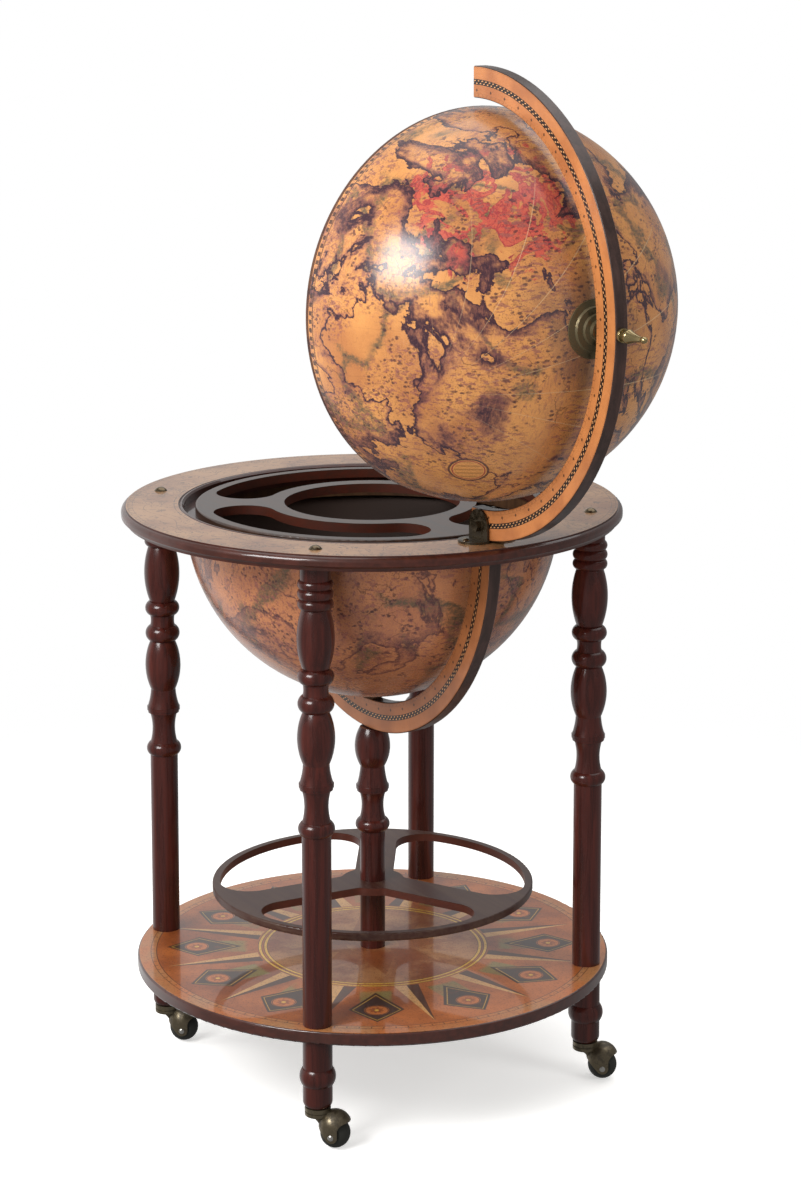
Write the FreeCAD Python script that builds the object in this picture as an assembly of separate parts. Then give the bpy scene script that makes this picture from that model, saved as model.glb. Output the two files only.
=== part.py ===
import FreeCAD, Part
import math
import os

# Floor globe bar. Millimetres, +Z up. The origin is on the floor under the middle of the globe,
# and the lid's hinge is towards +X. The lid stands open, as it does in use.

# Room left where pieces meet, and how far a cut runs past a face
overrun = 4.0
same_place = 0.01
running_clearance = 0.05
seat_clearance = 0.2
shell_clearance = 0.3

# Heights of the stand, from the floor up
cup_base_rise = 17.9
cup_height = 9.9
cup_gap = 0.6
foot_length = 78.0
shelf_thickness = 15.0
leg_turning_length = 298.0
leg_shaft_length = 214.0
ring_thickness = 17.0

# Legs and feet
leg_names = ["front", "right", "rear", "left"]
leg_first_angle = -45.0
leg_inset = 33.0
leg_radius = 20.5
leg_shaft_radius = 16.0
foot_radius = 20.0
stud_radius = 4.0
stud_reach = 30.0
ring_bolt_radius = 3.0
ring_bolt_reach = 40.0
ring_bolt_head_radius = 7.5
ring_bolt_head_height = 4.5

# Rows of a turned profile, from the top down: height, then start, middle and end radius.
# Heights are shares of the turned length and radii are shares of the largest radius.
leg_turning_shares = [
    (16, 0.82, 0.82, 0.82),
    (10, 0.83, 0.95, 0.83),
    (11, 0.83, 0.96, 0.83),
    (11, 0.83, 0.96, 0.80),
    (66, 0.74, 1.00, 0.70),
    (16, 0.76, 0.97, 0.74),
    (13, 0.70, 0.66, 0.70),
    (18, 0.75, 0.97, 0.73),
    (58, 0.70, 1.00, 0.70),
    (21, 0.70, 0.76, 0.90),
    (4, 0.93, 0.93, 0.93),
    (3, 0.88, 0.88, 0.88),
    (36, 0.78, 0.64, 0.76),
    (15, 0.80, 0.98, 0.80),
]
foot_turning_shares = [
    (34.0, 0.815, 0.815, 0.815),
    (19.0, 0.840, 1.000, 0.840),
    (19.0, 0.815, 0.815, 0.815),
    (6.0, 0.815, 0.775, 0.660),
]

# Lower shelf
shelf_margin = 21.3
shelf_edge_round = 2.5

# Centre column, bottle ring and the rod that clamps them
column_shaft_radius = 14.5
column_radius = 20.5
column_base_length = 72.0
column_turning_length = 123.0
column_turning_shares = [
    (46, 0.71, 1.00, 0.70),
    (23, 0.68, 0.75, 0.88),
    (4, 0.93, 0.93, 0.93),
    (3, 0.88, 0.88, 0.88),
    (33, 0.76, 0.62, 0.74),
    (14, 0.78, 0.97, 0.78),
]
rod_radius = 4.0
rod_reach = 60.0
rod_tail = 12.0
nut_flat_radius = 7.5
nut_height = 6.5
nut_flange_radius = 12.0
nut_flange_height = 1.6
column_dowel_radius = 4.0
column_dowel_depth = 22.0
column_dowel_rise = 12.0
bottle_ring_inset = 66.0
bottle_ring_thickness = 9.0
bottle_ring_rim = 9.0
bottle_ring_hub_radius = 36.0
bottle_ring_arm_width = 44.0
bottle_ring_outer_corner = 34.0
bottle_ring_inner_corner = 9.0
bottle_ring_edge_round = 1.5
bottle_ring_arms = 3
bottle_ring_first_angle = 26.0

# Table ring with its moulded edge, and the serving tray in it
ring_lid_gap = 3.5
ring_width = 71.0
ring_edge_width = 5.2
ring_quirk_depth = 1.6
ring_quirk_width = 1.4
ring_nose_drop = 8.0
ring_nose_height = 3.0
ring_foot_inset = 5.5
ring_edge_bulge = 1.2
ring_inner_round = 2.2
ring_groove_inset = 5.0
ring_groove_depth = 1.2
tray_rim_gap = 13.0
tray_seat_width = 6.0
tray_thickness = 10.5
tray_recess = 0.4
tray_edge_round = 2.0
tray_well_radius = 100.0
tray_slot_rim = 13.0
tray_slot_web = 19.0
tray_slots = 3
tray_slot_span = 80.0
tray_slot_first_angle = 60.0

# Globe bowl and the pieces inside it
bowl_radius = 213.0
bowl_wall = 4.0
bowl_centre_rise = 7.5
hoop_width = 11.0
hoop_height = 18.0
hoop_screws = 6
hoop_screw_radius = 2.0
hoop_screw_inset = 4.0
hoop_screw_cover = 1.1
hoop_screw_head_radius = 3.6
hoop_screw_head_height = 2.2
bowl_floor_rise = 59.5
bowl_floor_thickness = 9.0

# Meridians: flat half rings in the XZ plane
lower_meridian_gap = 7.5
lower_meridian_width = 35.2
upper_meridian_gap = 9.0
upper_meridian_width = 33.5
upper_meridian_rise = 6.5
upper_meridian_end_gap = 0.6
meridian_thickness = 15.7
meridian_chamfer = 1.2
meridian_dowel_radius = 4.0
meridian_dowel_ring_depth = 9.0
meridian_dowel_depth = 24.0
spacer_radius = 12.0
bowl_screw_radius = 2.5
bowl_screw_dowel_gap = 3.2
bowl_screw_head_radius = 5.0
bowl_screw_head_height = 3.0

# Globe lid, its pole pin and what sits on the pin
lid_inset = 2.5
lid_wall = 4.5
lid_rise = 1.3
lid_rim_drop = 6.0
lid_rim_round = 1.2
lid_open_angle = 90.0
pole_pin_radius = 3.0
pole_block_radius = 40.0
pole_block_depth = 12.0
pole_nut_flange_radius = 11.0
pole_nut_flange_height = 2.0
pole_nut_flat_radius = 7.5
pole_nut_height = 6.5
pole_boss_radius = 30.5
pole_boss_gap = 0.6
# Points of the boss from its top out: radius, then drop, as shares of its radius and its height
pole_boss_shares = [
    (0.36, 0.00),
    (0.36, 0.34),
    (0.52, 0.40),
    (0.54, 0.60),
    (0.74, 0.66),
    (0.78, 0.82),
    (1.00, 0.90),
]
finial_radius = 7.6
finial_length = 41.0
finial_pin_depth = 18.0
finial_turning_shares = [
    (8, 0.12, 0.46, 0.32),
    (19, 0.36, 0.56, 0.90),
    (6, 0.90, 0.98, 0.72),
    (4, 0.64, 0.62, 0.64),
    (4, 0.94, 1.00, 0.94),
]

# Hinge: two rounded angle brackets on the ring, and the bolt through them and the meridian
hinge_inset = 16.0
hinge_rise = 17.0
hinge_end_round = 16.0
hinge_bolt_radius = 4.0
hinge_bolt_head_radius = 6.4
hinge_bolt_head_height = 5.0
hinge_nut_height = 6.0
hinge_bolt_tail = 8.0
bracket_radius = 18.0
bracket_thickness = 2.5
bracket_side_gap = 0.5
bracket_foot_reach = 4.6
bracket_screw_inset = 7.0
bracket_screw_radius = 2.0
bracket_screw_reach = 13.0
bracket_screw_head_radius = 4.2
bracket_screw_head_height = 2.6

# Hooded ball casters. Each has swivelled to its own angle
caster_trail = 20.0
caster_trail_angles = [42.0, 55.0, 48.0, 52.0]
wheel_radius = 16.6
wheel_width_share = 0.813
wheel_hub_radius = 5.5
wheel_hub_gap = 1.3
axle_radius = 2.5
axle_head_radius = 3.2
axle_head_height = 1.4
hood_gap = 0.5
hood_wall = 1.3
hood_rise = 7.7
hood_ear_radius = 6.8
hood_ear_rise = 6.5
hood_visor_round = 8.3
hood_back_slope = 45.0
cup_radius = 14.3
cup_groove_depth = 1.0
cup_groove_height = 1.0
cup_lip_height = 4.6
cup_bead_round = 1.2
web_thickness = 13.0
web_start = 6.0
web_reach = 5.0
web_drop = 12.0
web_hollow = 1.8
stem_radius = 4.0
stem_top_gap = 4.5
socket_radius = 6.5
socket_stud_gap = 10.0

# Radii that follow from the sizes above, from the globe outwards and from the wheel outwards
bowl_inner = bowl_radius - bowl_wall
hoop_inner_radius = bowl_inner - hoop_width
hoop_screw_circle = hoop_inner_radius + hoop_screw_inset
lid_radius = bowl_radius - lid_inset
lid_inner = lid_radius - lid_wall
lower_meridian_inner = bowl_radius + lower_meridian_gap
lower_meridian_outer = lower_meridian_inner + lower_meridian_width
upper_meridian_inner = lid_radius + upper_meridian_gap
upper_meridian_outer = upper_meridian_inner + upper_meridian_width
hinge_distance = upper_meridian_outer - hinge_inset
ring_inner_radius = lid_radius + ring_lid_gap
ring_groove_radius = ring_inner_radius + ring_groove_inset
ring_radius = ring_inner_radius + ring_width
ring_flat_radius = ring_radius - ring_edge_width
ring_foot_radius = ring_radius - ring_foot_inset
tray_radius = ring_inner_radius - tray_rim_gap
ring_ledge_radius = tray_radius - tray_seat_width
tray_slot_outer = tray_radius - tray_slot_rim
tray_slot_inner = tray_well_radius + tray_slot_web
leg_circle_radius = ring_radius - leg_inset
shelf_radius = leg_circle_radius + shelf_margin
bottle_ring_radius = leg_circle_radius - bottle_ring_inset
wheel_half_width = wheel_radius * wheel_width_share
hood_inner = wheel_radius + hood_gap
hood_radius = hood_inner + hood_wall
wheel_hub_half_length = hood_inner - wheel_hub_gap

# Heights and places that follow from the sizes above
cup_base_height = wheel_radius + cup_base_rise
foot_bottom = cup_base_height + cup_height + cup_gap
shelf_bottom = foot_bottom + foot_length
shelf_top = shelf_bottom + shelf_thickness
ring_bottom = shelf_top + leg_shaft_length + leg_turning_length
ring_top = ring_bottom + ring_thickness
tray_top = ring_top - tray_recess
tray_bottom = tray_top - tray_thickness
hoop_screw_bite = tray_bottom - ring_bottom - hoop_screw_cover
socket_length = foot_length - stud_reach - socket_stud_gap
stem_top = foot_bottom + socket_length - stem_top_gap
bowl_centre = ring_bottom + bowl_centre_rise
bowl_floor_top = bowl_centre - bowl_inner + bowl_floor_rise + bowl_floor_thickness
lower_meridian_bottom = bowl_centre - lower_meridian_outer
bowl_screw_bite = lower_meridian_width - column_dowel_rise - bowl_screw_dowel_gap
bottle_ring_bottom = shelf_top + column_base_length
bottle_ring_top = bottle_ring_bottom + bottle_ring_thickness
column_top = lower_meridian_bottom - seat_clearance
lid_centre = ring_top + lid_rise
upper_meridian_centre = ring_top + upper_meridian_rise
pole_block_bottom = lid_centre + lid_inner - pole_block_depth
hinge_height = ring_top + hinge_rise
bracket_inner = meridian_thickness / 2 + bracket_side_gap
bracket_outer = bracket_inner + bracket_thickness
bracket_foot_centre = bracket_outer + bracket_foot_reach
bracket_screw_place = bracket_foot_centre + bracket_radius - bracket_screw_inset
full_turn = 360.0
half_turn = 180.0
hexagon_sides = 6
diagonal_share = math.sqrt(0.5)

across_z = FreeCAD.Vector(0, 0, 1)
along_y = FreeCAD.Vector(0, 1, 0)
nothing = FreeCAD.Vector(0, 0, 0)


def at(x, y, z):
    """A point or direction."""
    return FreeCAD.Vector(x, y, z)


def polar(radius, angle, z):
    """A point at a radius and an angle in degrees about Z."""
    turn = math.radians(angle)
    return FreeCAD.Vector(radius * math.cos(turn), radius * math.sin(turn), z)


class Outline:
    """A closed outline in the half plane right of Z, drawn point by point and turned about Z."""

    def __init__(self, radius, z):
        self.first = at(radius, 0, z)
        self.last = self.first
        self.edges = []

    def line(self, radius, z):
        """Draw a straight edge to a point, unless the pen is there already."""
        end = at(radius, 0, z)
        if not end.isEqual(self.last, same_place):
            self.edges.append(Part.LineSegment(self.last, end).toShape())
            self.last = end
        return self

    def arc(self, via_radius, via_z, radius, z):
        """Draw a round edge through one point to another."""
        end = at(radius, 0, z)
        self.edges.append(Part.Arc(self.last, at(via_radius, 0, via_z), end).toShape())
        self.last = end
        return self

    def turned(self):
        """Close the outline and turn it into a solid."""
        self.line(self.first.x, self.first.z)
        return Part.Face(Part.Wire(self.edges)).revolve(nothing, across_z, full_turn)


def rows_of(shares, length, radius):
    """Rows of a turned profile in real sizes, from its table of shares."""
    total = sum(row[0] for row in shares)
    return [(length * row[0] / total, radius * row[1], radius * row[2], radius * row[3]) for row in shares]


def turned_piece(rows, top):
    """A solid turned about Z from rows of height, start, middle and end radius, from the top down."""
    outline = Outline(0, top)
    z = top
    for height, start, middle, end in rows:
        outline.line(start, z)
        if math.isclose(start + end, 2 * middle):
            outline.line(end, z - height)
        else:
            outline.arc(middle, z - height / 2, end, z - height)
        z -= height
    outline.line(0, z)
    return outline.turned()


def post(radius, low, high, x=0, y=0):
    """An upright cylinder between two heights."""
    return Part.makeCylinder(radius, high - low, at(x, y, low))


def rounded_disc(radius, low, high, edge):
    """A round board with rounded edges."""
    lean = edge - edge * diagonal_share
    outline = Outline(0, low).line(radius - edge, low)
    outline.arc(radius - lean, low + lean, radius, low + edge)
    outline.line(radius, high - edge)
    outline.arc(radius - lean, high - lean, radius - edge, high)
    return outline.line(0, high).turned()


def pin_along_y(radius, start, end, x, z):
    """A cylinder along Y between two places."""
    return Part.makeCylinder(radius, end - start, at(x, start, z), along_y)


def domed_head(radius, height, z):
    """A low dome, a cap of a ball, that stands on a height."""
    ball_radius = (radius ** 2 + height ** 2) / (2 * height)
    centre = z + height - ball_radius
    half_way = math.asin(radius / ball_radius) / 2
    outline = Outline(0, z).line(radius, z)
    outline.arc(ball_radius * math.sin(half_way), centre + ball_radius * math.cos(half_way), 0, z + height)
    return outline.turned()


def hexagon(radius, low, high):
    """A hexagonal prism about Z."""
    corners = [polar(radius, full_turn * side / hexagon_sides, low) for side in range(hexagon_sides + 1)]
    return Part.Face(Part.makePolygon(corners)).extrude(at(0, 0, high - low))


def ball(radius, z):
    """A whole ball on the Z axis."""
    return Part.makeSphere(radius, at(0, 0, z))


def moved(shape, x, y, z):
    """A copy of a shape, moved."""
    copy = shape.copy()
    copy.translate(at(x, y, z))
    return copy


def spun(shape, angle, centre=nothing, axis=across_z):
    """A copy of a shape, turned about an axis."""
    copy = shape.copy()
    copy.rotate(centre, axis, angle)
    return copy


def opened(shape):
    """A piece of the lid, modelled closed and turned open about the hinge."""
    return spun(shape, lid_open_angle, at(hinge_distance, 0, hinge_height), along_y)


def leg_angle(index):
    """The direction of a leg in degrees."""
    return leg_first_angle + full_turn * index / len(leg_names)


def at_legs(shape):
    """One copy of a shape at every leg."""
    places = [polar(leg_circle_radius, leg_angle(index), 0) for index in range(len(leg_names))]
    return [moved(shape, place.x, place.y, 0) for place in places]


def leg_post():
    """A turned leg between the shelf and the ring, bored for its stud and its bolt."""
    rows = rows_of(leg_turning_shares, leg_turning_length, leg_radius)
    rows.append((leg_shaft_length, leg_shaft_radius, leg_shaft_radius, leg_shaft_radius))
    leg = turned_piece(rows, ring_bottom)
    stud_end = shelf_top + stud_reach + overrun
    leg = leg.cut(post(stud_radius + running_clearance, shelf_top - overrun, stud_end))
    bolt_end = ring_bottom - ring_bolt_reach - overrun
    return leg.cut(post(ring_bolt_radius + running_clearance, bolt_end, ring_bottom + overrun))


def leg_foot():
    """A turned foot under the shelf, bored for its stud and the caster's socket."""
    foot = turned_piece(rows_of(foot_turning_shares, foot_length, foot_radius), shelf_bottom)
    stud_end = shelf_bottom - stud_reach - overrun
    foot = foot.cut(post(stud_radius + running_clearance, stud_end, shelf_bottom + overrun))
    socket_end = foot_bottom + socket_length
    return foot.cut(post(socket_radius + running_clearance, foot_bottom - overrun, socket_end))


def leg_stud():
    """The stud that joins a leg to its foot through the shelf."""
    return post(stud_radius, shelf_bottom - stud_reach, shelf_top + stud_reach)


def ring_bolt():
    """A dome-head bolt through the ring into a leg."""
    head = domed_head(ring_bolt_head_radius, ring_bolt_head_height, ring_top)
    return head.fuse(post(ring_bolt_radius, ring_bottom - ring_bolt_reach, ring_top)).removeSplitter()


def caster_socket():
    """The sleeve in a foot that a caster's stem turns in."""
    sleeve = post(socket_radius, foot_bottom, foot_bottom + socket_length)
    return sleeve.cut(post(stem_radius + running_clearance, foot_bottom - overrun, shelf_bottom))


def lower_shelf():
    """The round shelf, with holes for the studs and the column's rod."""
    shelf = rounded_disc(shelf_radius, shelf_bottom, shelf_top, shelf_edge_round)
    for hole in at_legs(post(stud_radius + running_clearance, shelf_bottom - overrun, shelf_top + overrun)):
        shelf = shelf.cut(hole)
    return shelf.cut(post(rod_radius + running_clearance, shelf_bottom - overrun, shelf_top + overrun))


def table_ring():
    """The ring on the legs: moulded edge, scored line, rebate for the tray and room for the lid."""
    nose = ring_top - ring_nose_drop
    quirk = ring_top - ring_quirk_depth
    quirk_radius = ring_flat_radius + ring_quirk_width
    nose_foot = nose - ring_nose_height
    groove = ring_groove_depth
    bulge = ring_edge_bulge
    outline = Outline(ring_ledge_radius, ring_bottom).line(ring_foot_radius, ring_bottom)
    cove_radius = (ring_foot_radius + ring_radius) / 2 - bulge
    outline.arc(cove_radius, (ring_bottom + nose_foot) / 2 + bulge, ring_radius, nose_foot)
    outline.line(ring_radius, nose)
    outline.arc(ring_radius - bulge, (nose + quirk) / 2 + bulge, quirk_radius, quirk)
    outline.line(ring_flat_radius, quirk).line(ring_flat_radius, ring_top)
    outline.line(ring_groove_radius + groove, ring_top).line(ring_groove_radius, ring_top - groove)
    outline.line(ring_groove_radius - groove, ring_top).line(ring_inner_radius + ring_inner_round, ring_top)
    outline.line(ring_inner_radius, ring_top - ring_inner_round)
    outline.line(ring_inner_radius, tray_bottom).line(ring_ledge_radius, tray_bottom)
    ring = outline.turned()
    holes = at_legs(post(ring_bolt_radius + running_clearance, ring_bottom - overrun, ring_top + overrun))
    dowel_end = ring_bottom + meridian_dowel_ring_depth
    for x in meridian_dowel_places():
        holes.append(post(meridian_dowel_radius + running_clearance, ring_bottom - overrun, dowel_end, x))
    for index in range(hoop_screws):
        holes.append(spun(hoop_screw_hole(), full_turn * index / hoop_screws))
    screw_radius = bracket_screw_radius + running_clearance
    screw_end = ring_top - bracket_screw_reach - seat_clearance
    for y in (-bracket_screw_place, bracket_screw_place):
        holes.append(post(screw_radius, screw_end, ring_top + overrun, hinge_distance, y))
    for hole in holes:
        ring = ring.cut(hole)
    return ring


def tray_slot():
    """A curved slot of the tray, with round ends, as a cutter."""
    low = tray_bottom - overrun
    outer = tray_slot_outer
    inner = tray_slot_inner
    middle = (outer + inner) / 2
    ends = (-tray_slot_span / 2, tray_slot_span / 2)
    tips = []
    for end, sign in zip(ends, (-1, 1)):
        centre = polar(middle, end, low)
        tips.append(centre + polar((outer - inner) / 2, end + sign * half_turn / 2, 0))
    edges = [
        Part.Arc(polar(outer, ends[0], low), polar(outer, 0, low), polar(outer, ends[1], low)),
        Part.Arc(polar(outer, ends[1], low), tips[1], polar(inner, ends[1], low)),
        Part.Arc(polar(inner, ends[1], low), polar(inner, 0, low), polar(inner, ends[0], low)),
        Part.Arc(polar(inner, ends[0], low), tips[0], polar(outer, ends[0], low)),
    ]
    face = Part.Face(Part.Wire([edge.toShape() for edge in edges]))
    return face.extrude(at(0, 0, tray_thickness + 2 * overrun))


def serving_tray():
    """The tray that lies on the ring's rebate: a round well for bottles and curved slots for glasses."""
    edge = tray_edge_round
    lean = edge - edge * diagonal_share
    outline = Outline(tray_well_radius, tray_bottom).line(tray_radius, tray_bottom)
    outline.line(tray_radius, tray_top - edge)
    outline.arc(tray_radius - lean, tray_top - lean, tray_radius - edge, tray_top)
    outline.line(tray_well_radius, tray_top)
    tray = outline.turned()
    for index in range(tray_slots):
        tray = tray.cut(spun(tray_slot(), tray_slot_first_angle + full_turn * index / tray_slots))
    return tray


def globe_bowl():
    """The lower half of the globe, open at the ring."""
    rim_drop = ring_bottom - bowl_centre
    rim_outer = math.sqrt(bowl_radius ** 2 - rim_drop ** 2)
    rim_inner = math.sqrt(bowl_inner ** 2 - rim_drop ** 2)
    outside = bowl_radius * diagonal_share
    inside = bowl_inner * diagonal_share
    outline = Outline(0, bowl_centre - bowl_radius)
    outline.arc(outside, bowl_centre - outside, rim_outer, ring_bottom)
    outline.line(rim_inner, ring_bottom)
    outline.arc(inside, bowl_centre - inside, 0, bowl_centre - bowl_inner)
    return outline.turned().cut(bowl_screw_hole())


def bowl_screw_hole():
    """The hole for the screw through the bowl, the spacer and the meridian, as a cutter."""
    bottom = bowl_centre - lower_meridian_inner - bowl_screw_bite
    return post(bowl_screw_radius + running_clearance, bottom, bowl_centre - bowl_inner + overrun)


def bowl_screw():
    """The screw that holds the bowl down on the lower meridian."""
    head_base = bowl_centre - bowl_inner + seat_clearance
    bottom = bowl_centre - lower_meridian_inner - bowl_screw_bite
    head = domed_head(bowl_screw_head_radius, bowl_screw_head_height, head_base)
    return head.fuse(post(bowl_screw_radius, bottom, head_base)).removeSplitter()


def meridian_spacer():
    """The small disc between the bowl and the lower meridian."""
    rise = lower_meridian_inner - math.sqrt(lower_meridian_inner ** 2 - spacer_radius ** 2)
    low = bowl_centre - lower_meridian_inner + rise + running_clearance
    disc = post(spacer_radius, low, bowl_centre - bowl_radius - running_clearance)
    return disc.cut(bowl_screw_hole())


def hoop_screw_hole():
    """The hole for a screw through the hoop into the ring, as a cutter."""
    radius = hoop_screw_radius + running_clearance
    low = ring_bottom - hoop_height - overrun
    return post(radius, low, ring_bottom + hoop_screw_bite, hoop_screw_circle)


def hoop_screw():
    """A screw up through the hoop into the ring."""
    low = ring_bottom - hoop_height
    head = spun(domed_head(hoop_screw_head_radius, hoop_screw_head_height, 0), half_turn, nothing, along_y)
    shank = post(hoop_screw_radius, 0, hoop_height + hoop_screw_bite)
    return moved(head.fuse(shank).removeSplitter(), hoop_screw_circle, 0, low)


def bowl_hoop():
    """The hoop inside the bowl's rim."""
    hoop = post(bowl_radius, ring_bottom - hoop_height, ring_bottom)
    hoop = hoop.common(ball(bowl_inner - shell_clearance, bowl_centre))
    hoop = hoop.cut(post(hoop_inner_radius, ring_bottom - hoop_height - overrun, ring_bottom + overrun))
    for index in range(hoop_screws):
        hoop = hoop.cut(spun(hoop_screw_hole(), full_turn * index / hoop_screws))
    return hoop


def bowl_floor():
    """The floor board that bottles stand on inside the bowl."""
    board = post(bowl_radius, bowl_floor_top - bowl_floor_thickness, bowl_floor_top)
    return board.common(ball(bowl_inner - shell_clearance, bowl_centre))


def flat_ring(outer, inner, centre):
    """A flat ring in the XZ plane with chamfered edges, about a centre height."""
    half = meridian_thickness / 2
    edge = meridian_chamfer
    outline = Outline(inner, -half + edge).line(inner + edge, -half).line(outer - edge, -half)
    outline.line(outer, -half + edge).line(outer, half - edge).line(outer - edge, half)
    outline.line(inner + edge, half).line(inner, half - edge)
    ring = spun(outline.turned(), half_turn / 2, nothing, at(1, 0, 0))
    return moved(ring, 0, 0, centre)


def slab(low, high):
    """A wide flat block between two heights, as a cutter."""
    reach = ring_radius + overrun
    return Part.makeBox(2 * reach, 2 * reach, high - low, at(-reach, -reach, low))


def meridian_dowel_places():
    """Where the dowels stand between the ring and the lower meridian, along X."""
    middle = (lower_meridian_outer + lower_meridian_inner) / 2
    return (-middle, middle)


def lower_meridian():
    """The half ring under the bowl, from the ring round to the ring."""
    ring = flat_ring(lower_meridian_outer, lower_meridian_inner, bowl_centre)
    arch = ring.cut(slab(ring_bottom, bowl_centre + lower_meridian_outer + overrun))
    dowel_radius = meridian_dowel_radius + running_clearance
    for x in meridian_dowel_places():
        arch = arch.cut(post(dowel_radius, ring_bottom - meridian_dowel_depth, ring_bottom + overrun, x))
    dowel_radius = column_dowel_radius + running_clearance
    bottom = lower_meridian_bottom
    arch = arch.cut(post(dowel_radius, bottom - overrun, bottom + column_dowel_rise))
    return arch.cut(bowl_screw_hole())


def meridian_dowel(x):
    """A dowel between the ring and an end of the lower meridian."""
    low = ring_bottom - meridian_dowel_depth + seat_clearance
    return post(meridian_dowel_radius, low, ring_bottom + meridian_dowel_ring_depth - seat_clearance, x)


def centre_column():
    """The turned column from the bottle ring up to the lower meridian."""
    rows = rows_of(column_turning_shares, column_turning_length, column_radius)
    shaft = column_top - bottle_ring_top - column_turning_length
    rows.append((shaft, column_shaft_radius, column_shaft_radius, column_shaft_radius))
    column = turned_piece(rows, column_top)
    rod_end = bottle_ring_top + rod_reach
    column = column.cut(post(rod_radius + running_clearance, bottle_ring_top - overrun, rod_end))
    dowel_end = column_top - column_dowel_depth
    return column.cut(post(column_dowel_radius + running_clearance, dowel_end, column_top + overrun))


def column_dowel():
    """The dowel between the column and the lower meridian."""
    low = column_top - column_dowel_depth + seat_clearance
    return post(column_dowel_radius, low, lower_meridian_bottom + column_dowel_rise - seat_clearance)


def column_base():
    """The plain length of the column under the bottle ring."""
    base = post(column_shaft_radius, shelf_top, bottle_ring_bottom)
    return base.cut(post(rod_radius + running_clearance, shelf_top - overrun, bottle_ring_bottom + overrun))


def column_rod():
    """The threaded rod from under the shelf up into the column."""
    return post(rod_radius, shelf_bottom - rod_tail, bottle_ring_top + rod_reach - overrun)


def column_nut():
    """The flanged nut under the shelf."""
    flange_low = shelf_bottom - nut_flange_height
    nut = post(nut_flange_radius, flange_low, shelf_bottom)
    low = flange_low - nut_height
    nut = nut.fuse(hexagon(nut_flat_radius, low, flange_low)).removeSplitter()
    return nut.cut(post(rod_radius + running_clearance, low - overrun, shelf_bottom + overrun))


def bottle_opening():
    """One opening of the bottle ring between two arms, with round corners, as a cutter."""
    low = bottle_ring_bottom - overrun
    half_arm = bottle_ring_arm_width / 2
    rim = bottle_ring_radius - bottle_ring_rim
    hub = bottle_ring_hub_radius
    half_span = half_turn / bottle_ring_arms
    rim_end = half_span - math.degrees(math.asin(half_arm / rim))
    hub_end = half_span - math.degrees(math.asin(half_arm / hub))
    edges = [
        Part.Arc(polar(rim, -rim_end, low), polar(rim, 0, low), polar(rim, rim_end, low)),
        Part.LineSegment(polar(rim, rim_end, low), polar(hub, hub_end, low)),
        Part.Arc(polar(hub, hub_end, low), polar(hub, 0, low), polar(hub, -hub_end, low)),
        Part.LineSegment(polar(hub, -hub_end, low), polar(rim, -rim_end, low)),
    ]
    face = Part.Face(Part.Wire([edge.toShape() for edge in edges]))
    prism = face.extrude(at(0, 0, bottle_ring_thickness + 2 * overrun))
    prism = prism.makeFillet(bottle_ring_outer_corner, upright_edges(prism, rim))
    return prism.makeFillet(bottle_ring_inner_corner, upright_edges(prism, hub))


def upright_edges(solid, radius):
    """The upright edges of a solid that stand at a radius from the Z axis."""
    found = []
    for edge in solid.Edges:
        first = edge.Vertexes[0].Point
        last = edge.Vertexes[-1].Point
        is_upright = math.hypot(last.x - first.x, last.y - first.y) < same_place
        if is_upright and abs(math.hypot(first.x, first.y) - radius) < same_place:
            found.append(edge)
    return found


def bottle_ring():
    """The pierced plate on the column that steadies bottles on the shelf."""
    low = bottle_ring_bottom
    high = bottle_ring_top
    plate = rounded_disc(bottle_ring_radius, low, high, bottle_ring_edge_round)
    step = full_turn / bottle_ring_arms
    for index in range(bottle_ring_arms):
        plate = plate.cut(spun(bottle_opening(), bottle_ring_first_angle + step / 2 + step * index))
    return plate.cut(post(rod_radius + running_clearance, low - overrun, high + overrun))


def upper_meridian():
    """The half ring that carries the lid, with a rounded end at the hinge."""
    ring = flat_ring(upper_meridian_outer, upper_meridian_inner, upper_meridian_centre)
    end = ring_top + upper_meridian_end_gap
    arch = ring.cut(slab(upper_meridian_centre - upper_meridian_outer - overrun, end))
    reach = upper_meridian_outer + overrun - hinge_distance
    corner = Part.makeBox(reach, 2 * meridian_thickness, hinge_rise + overrun,
                          at(hinge_distance, -meridian_thickness, hinge_height - hinge_rise - overrun))
    keep = pin_along_y(hinge_end_round, -meridian_thickness - overrun, meridian_thickness + overrun,
                       hinge_distance, hinge_height)
    arch = arch.cut(corner.cut(keep))
    bolt_radius = hinge_bolt_radius + running_clearance
    side = meridian_thickness
    arch = arch.cut(pin_along_y(bolt_radius, -side, side, hinge_distance, hinge_height))
    top = upper_meridian_centre + upper_meridian_outer
    return arch.cut(post(pole_pin_radius + running_clearance, upper_meridian_centre, top + overrun))


def globe_lid():
    """The upper half of the globe, bored at its pole."""
    rim = lid_centre - lid_rim_drop
    rim_outer = math.sqrt(lid_radius ** 2 - lid_rim_drop ** 2)
    rim_inner = math.sqrt(lid_inner ** 2 - lid_rim_drop ** 2)
    outside = lid_radius * diagonal_share
    inside = lid_inner * diagonal_share
    outline = Outline(0, lid_centre + lid_radius)
    outline.arc(outside, lid_centre + outside, rim_outer, rim + lid_rim_round)
    outline.line(rim_outer - lid_rim_round, rim).line(rim_inner, rim)
    outline.arc(inside, lid_centre + inside, 0, lid_centre + lid_inner)
    return outline.turned().cut(pole_hole())


def pole_hole():
    """The hole for the pole pin through the lid and what is fixed to it, as a cutter."""
    top = upper_meridian_centre + upper_meridian_outer
    return post(pole_pin_radius + running_clearance, pole_block_bottom - overrun, top)


def pole_block():
    """The backing block inside the lid's pole."""
    block = post(pole_block_radius, pole_block_bottom, lid_centre + lid_radius)
    return block.common(ball(lid_inner - shell_clearance, lid_centre)).cut(pole_hole())


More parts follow.
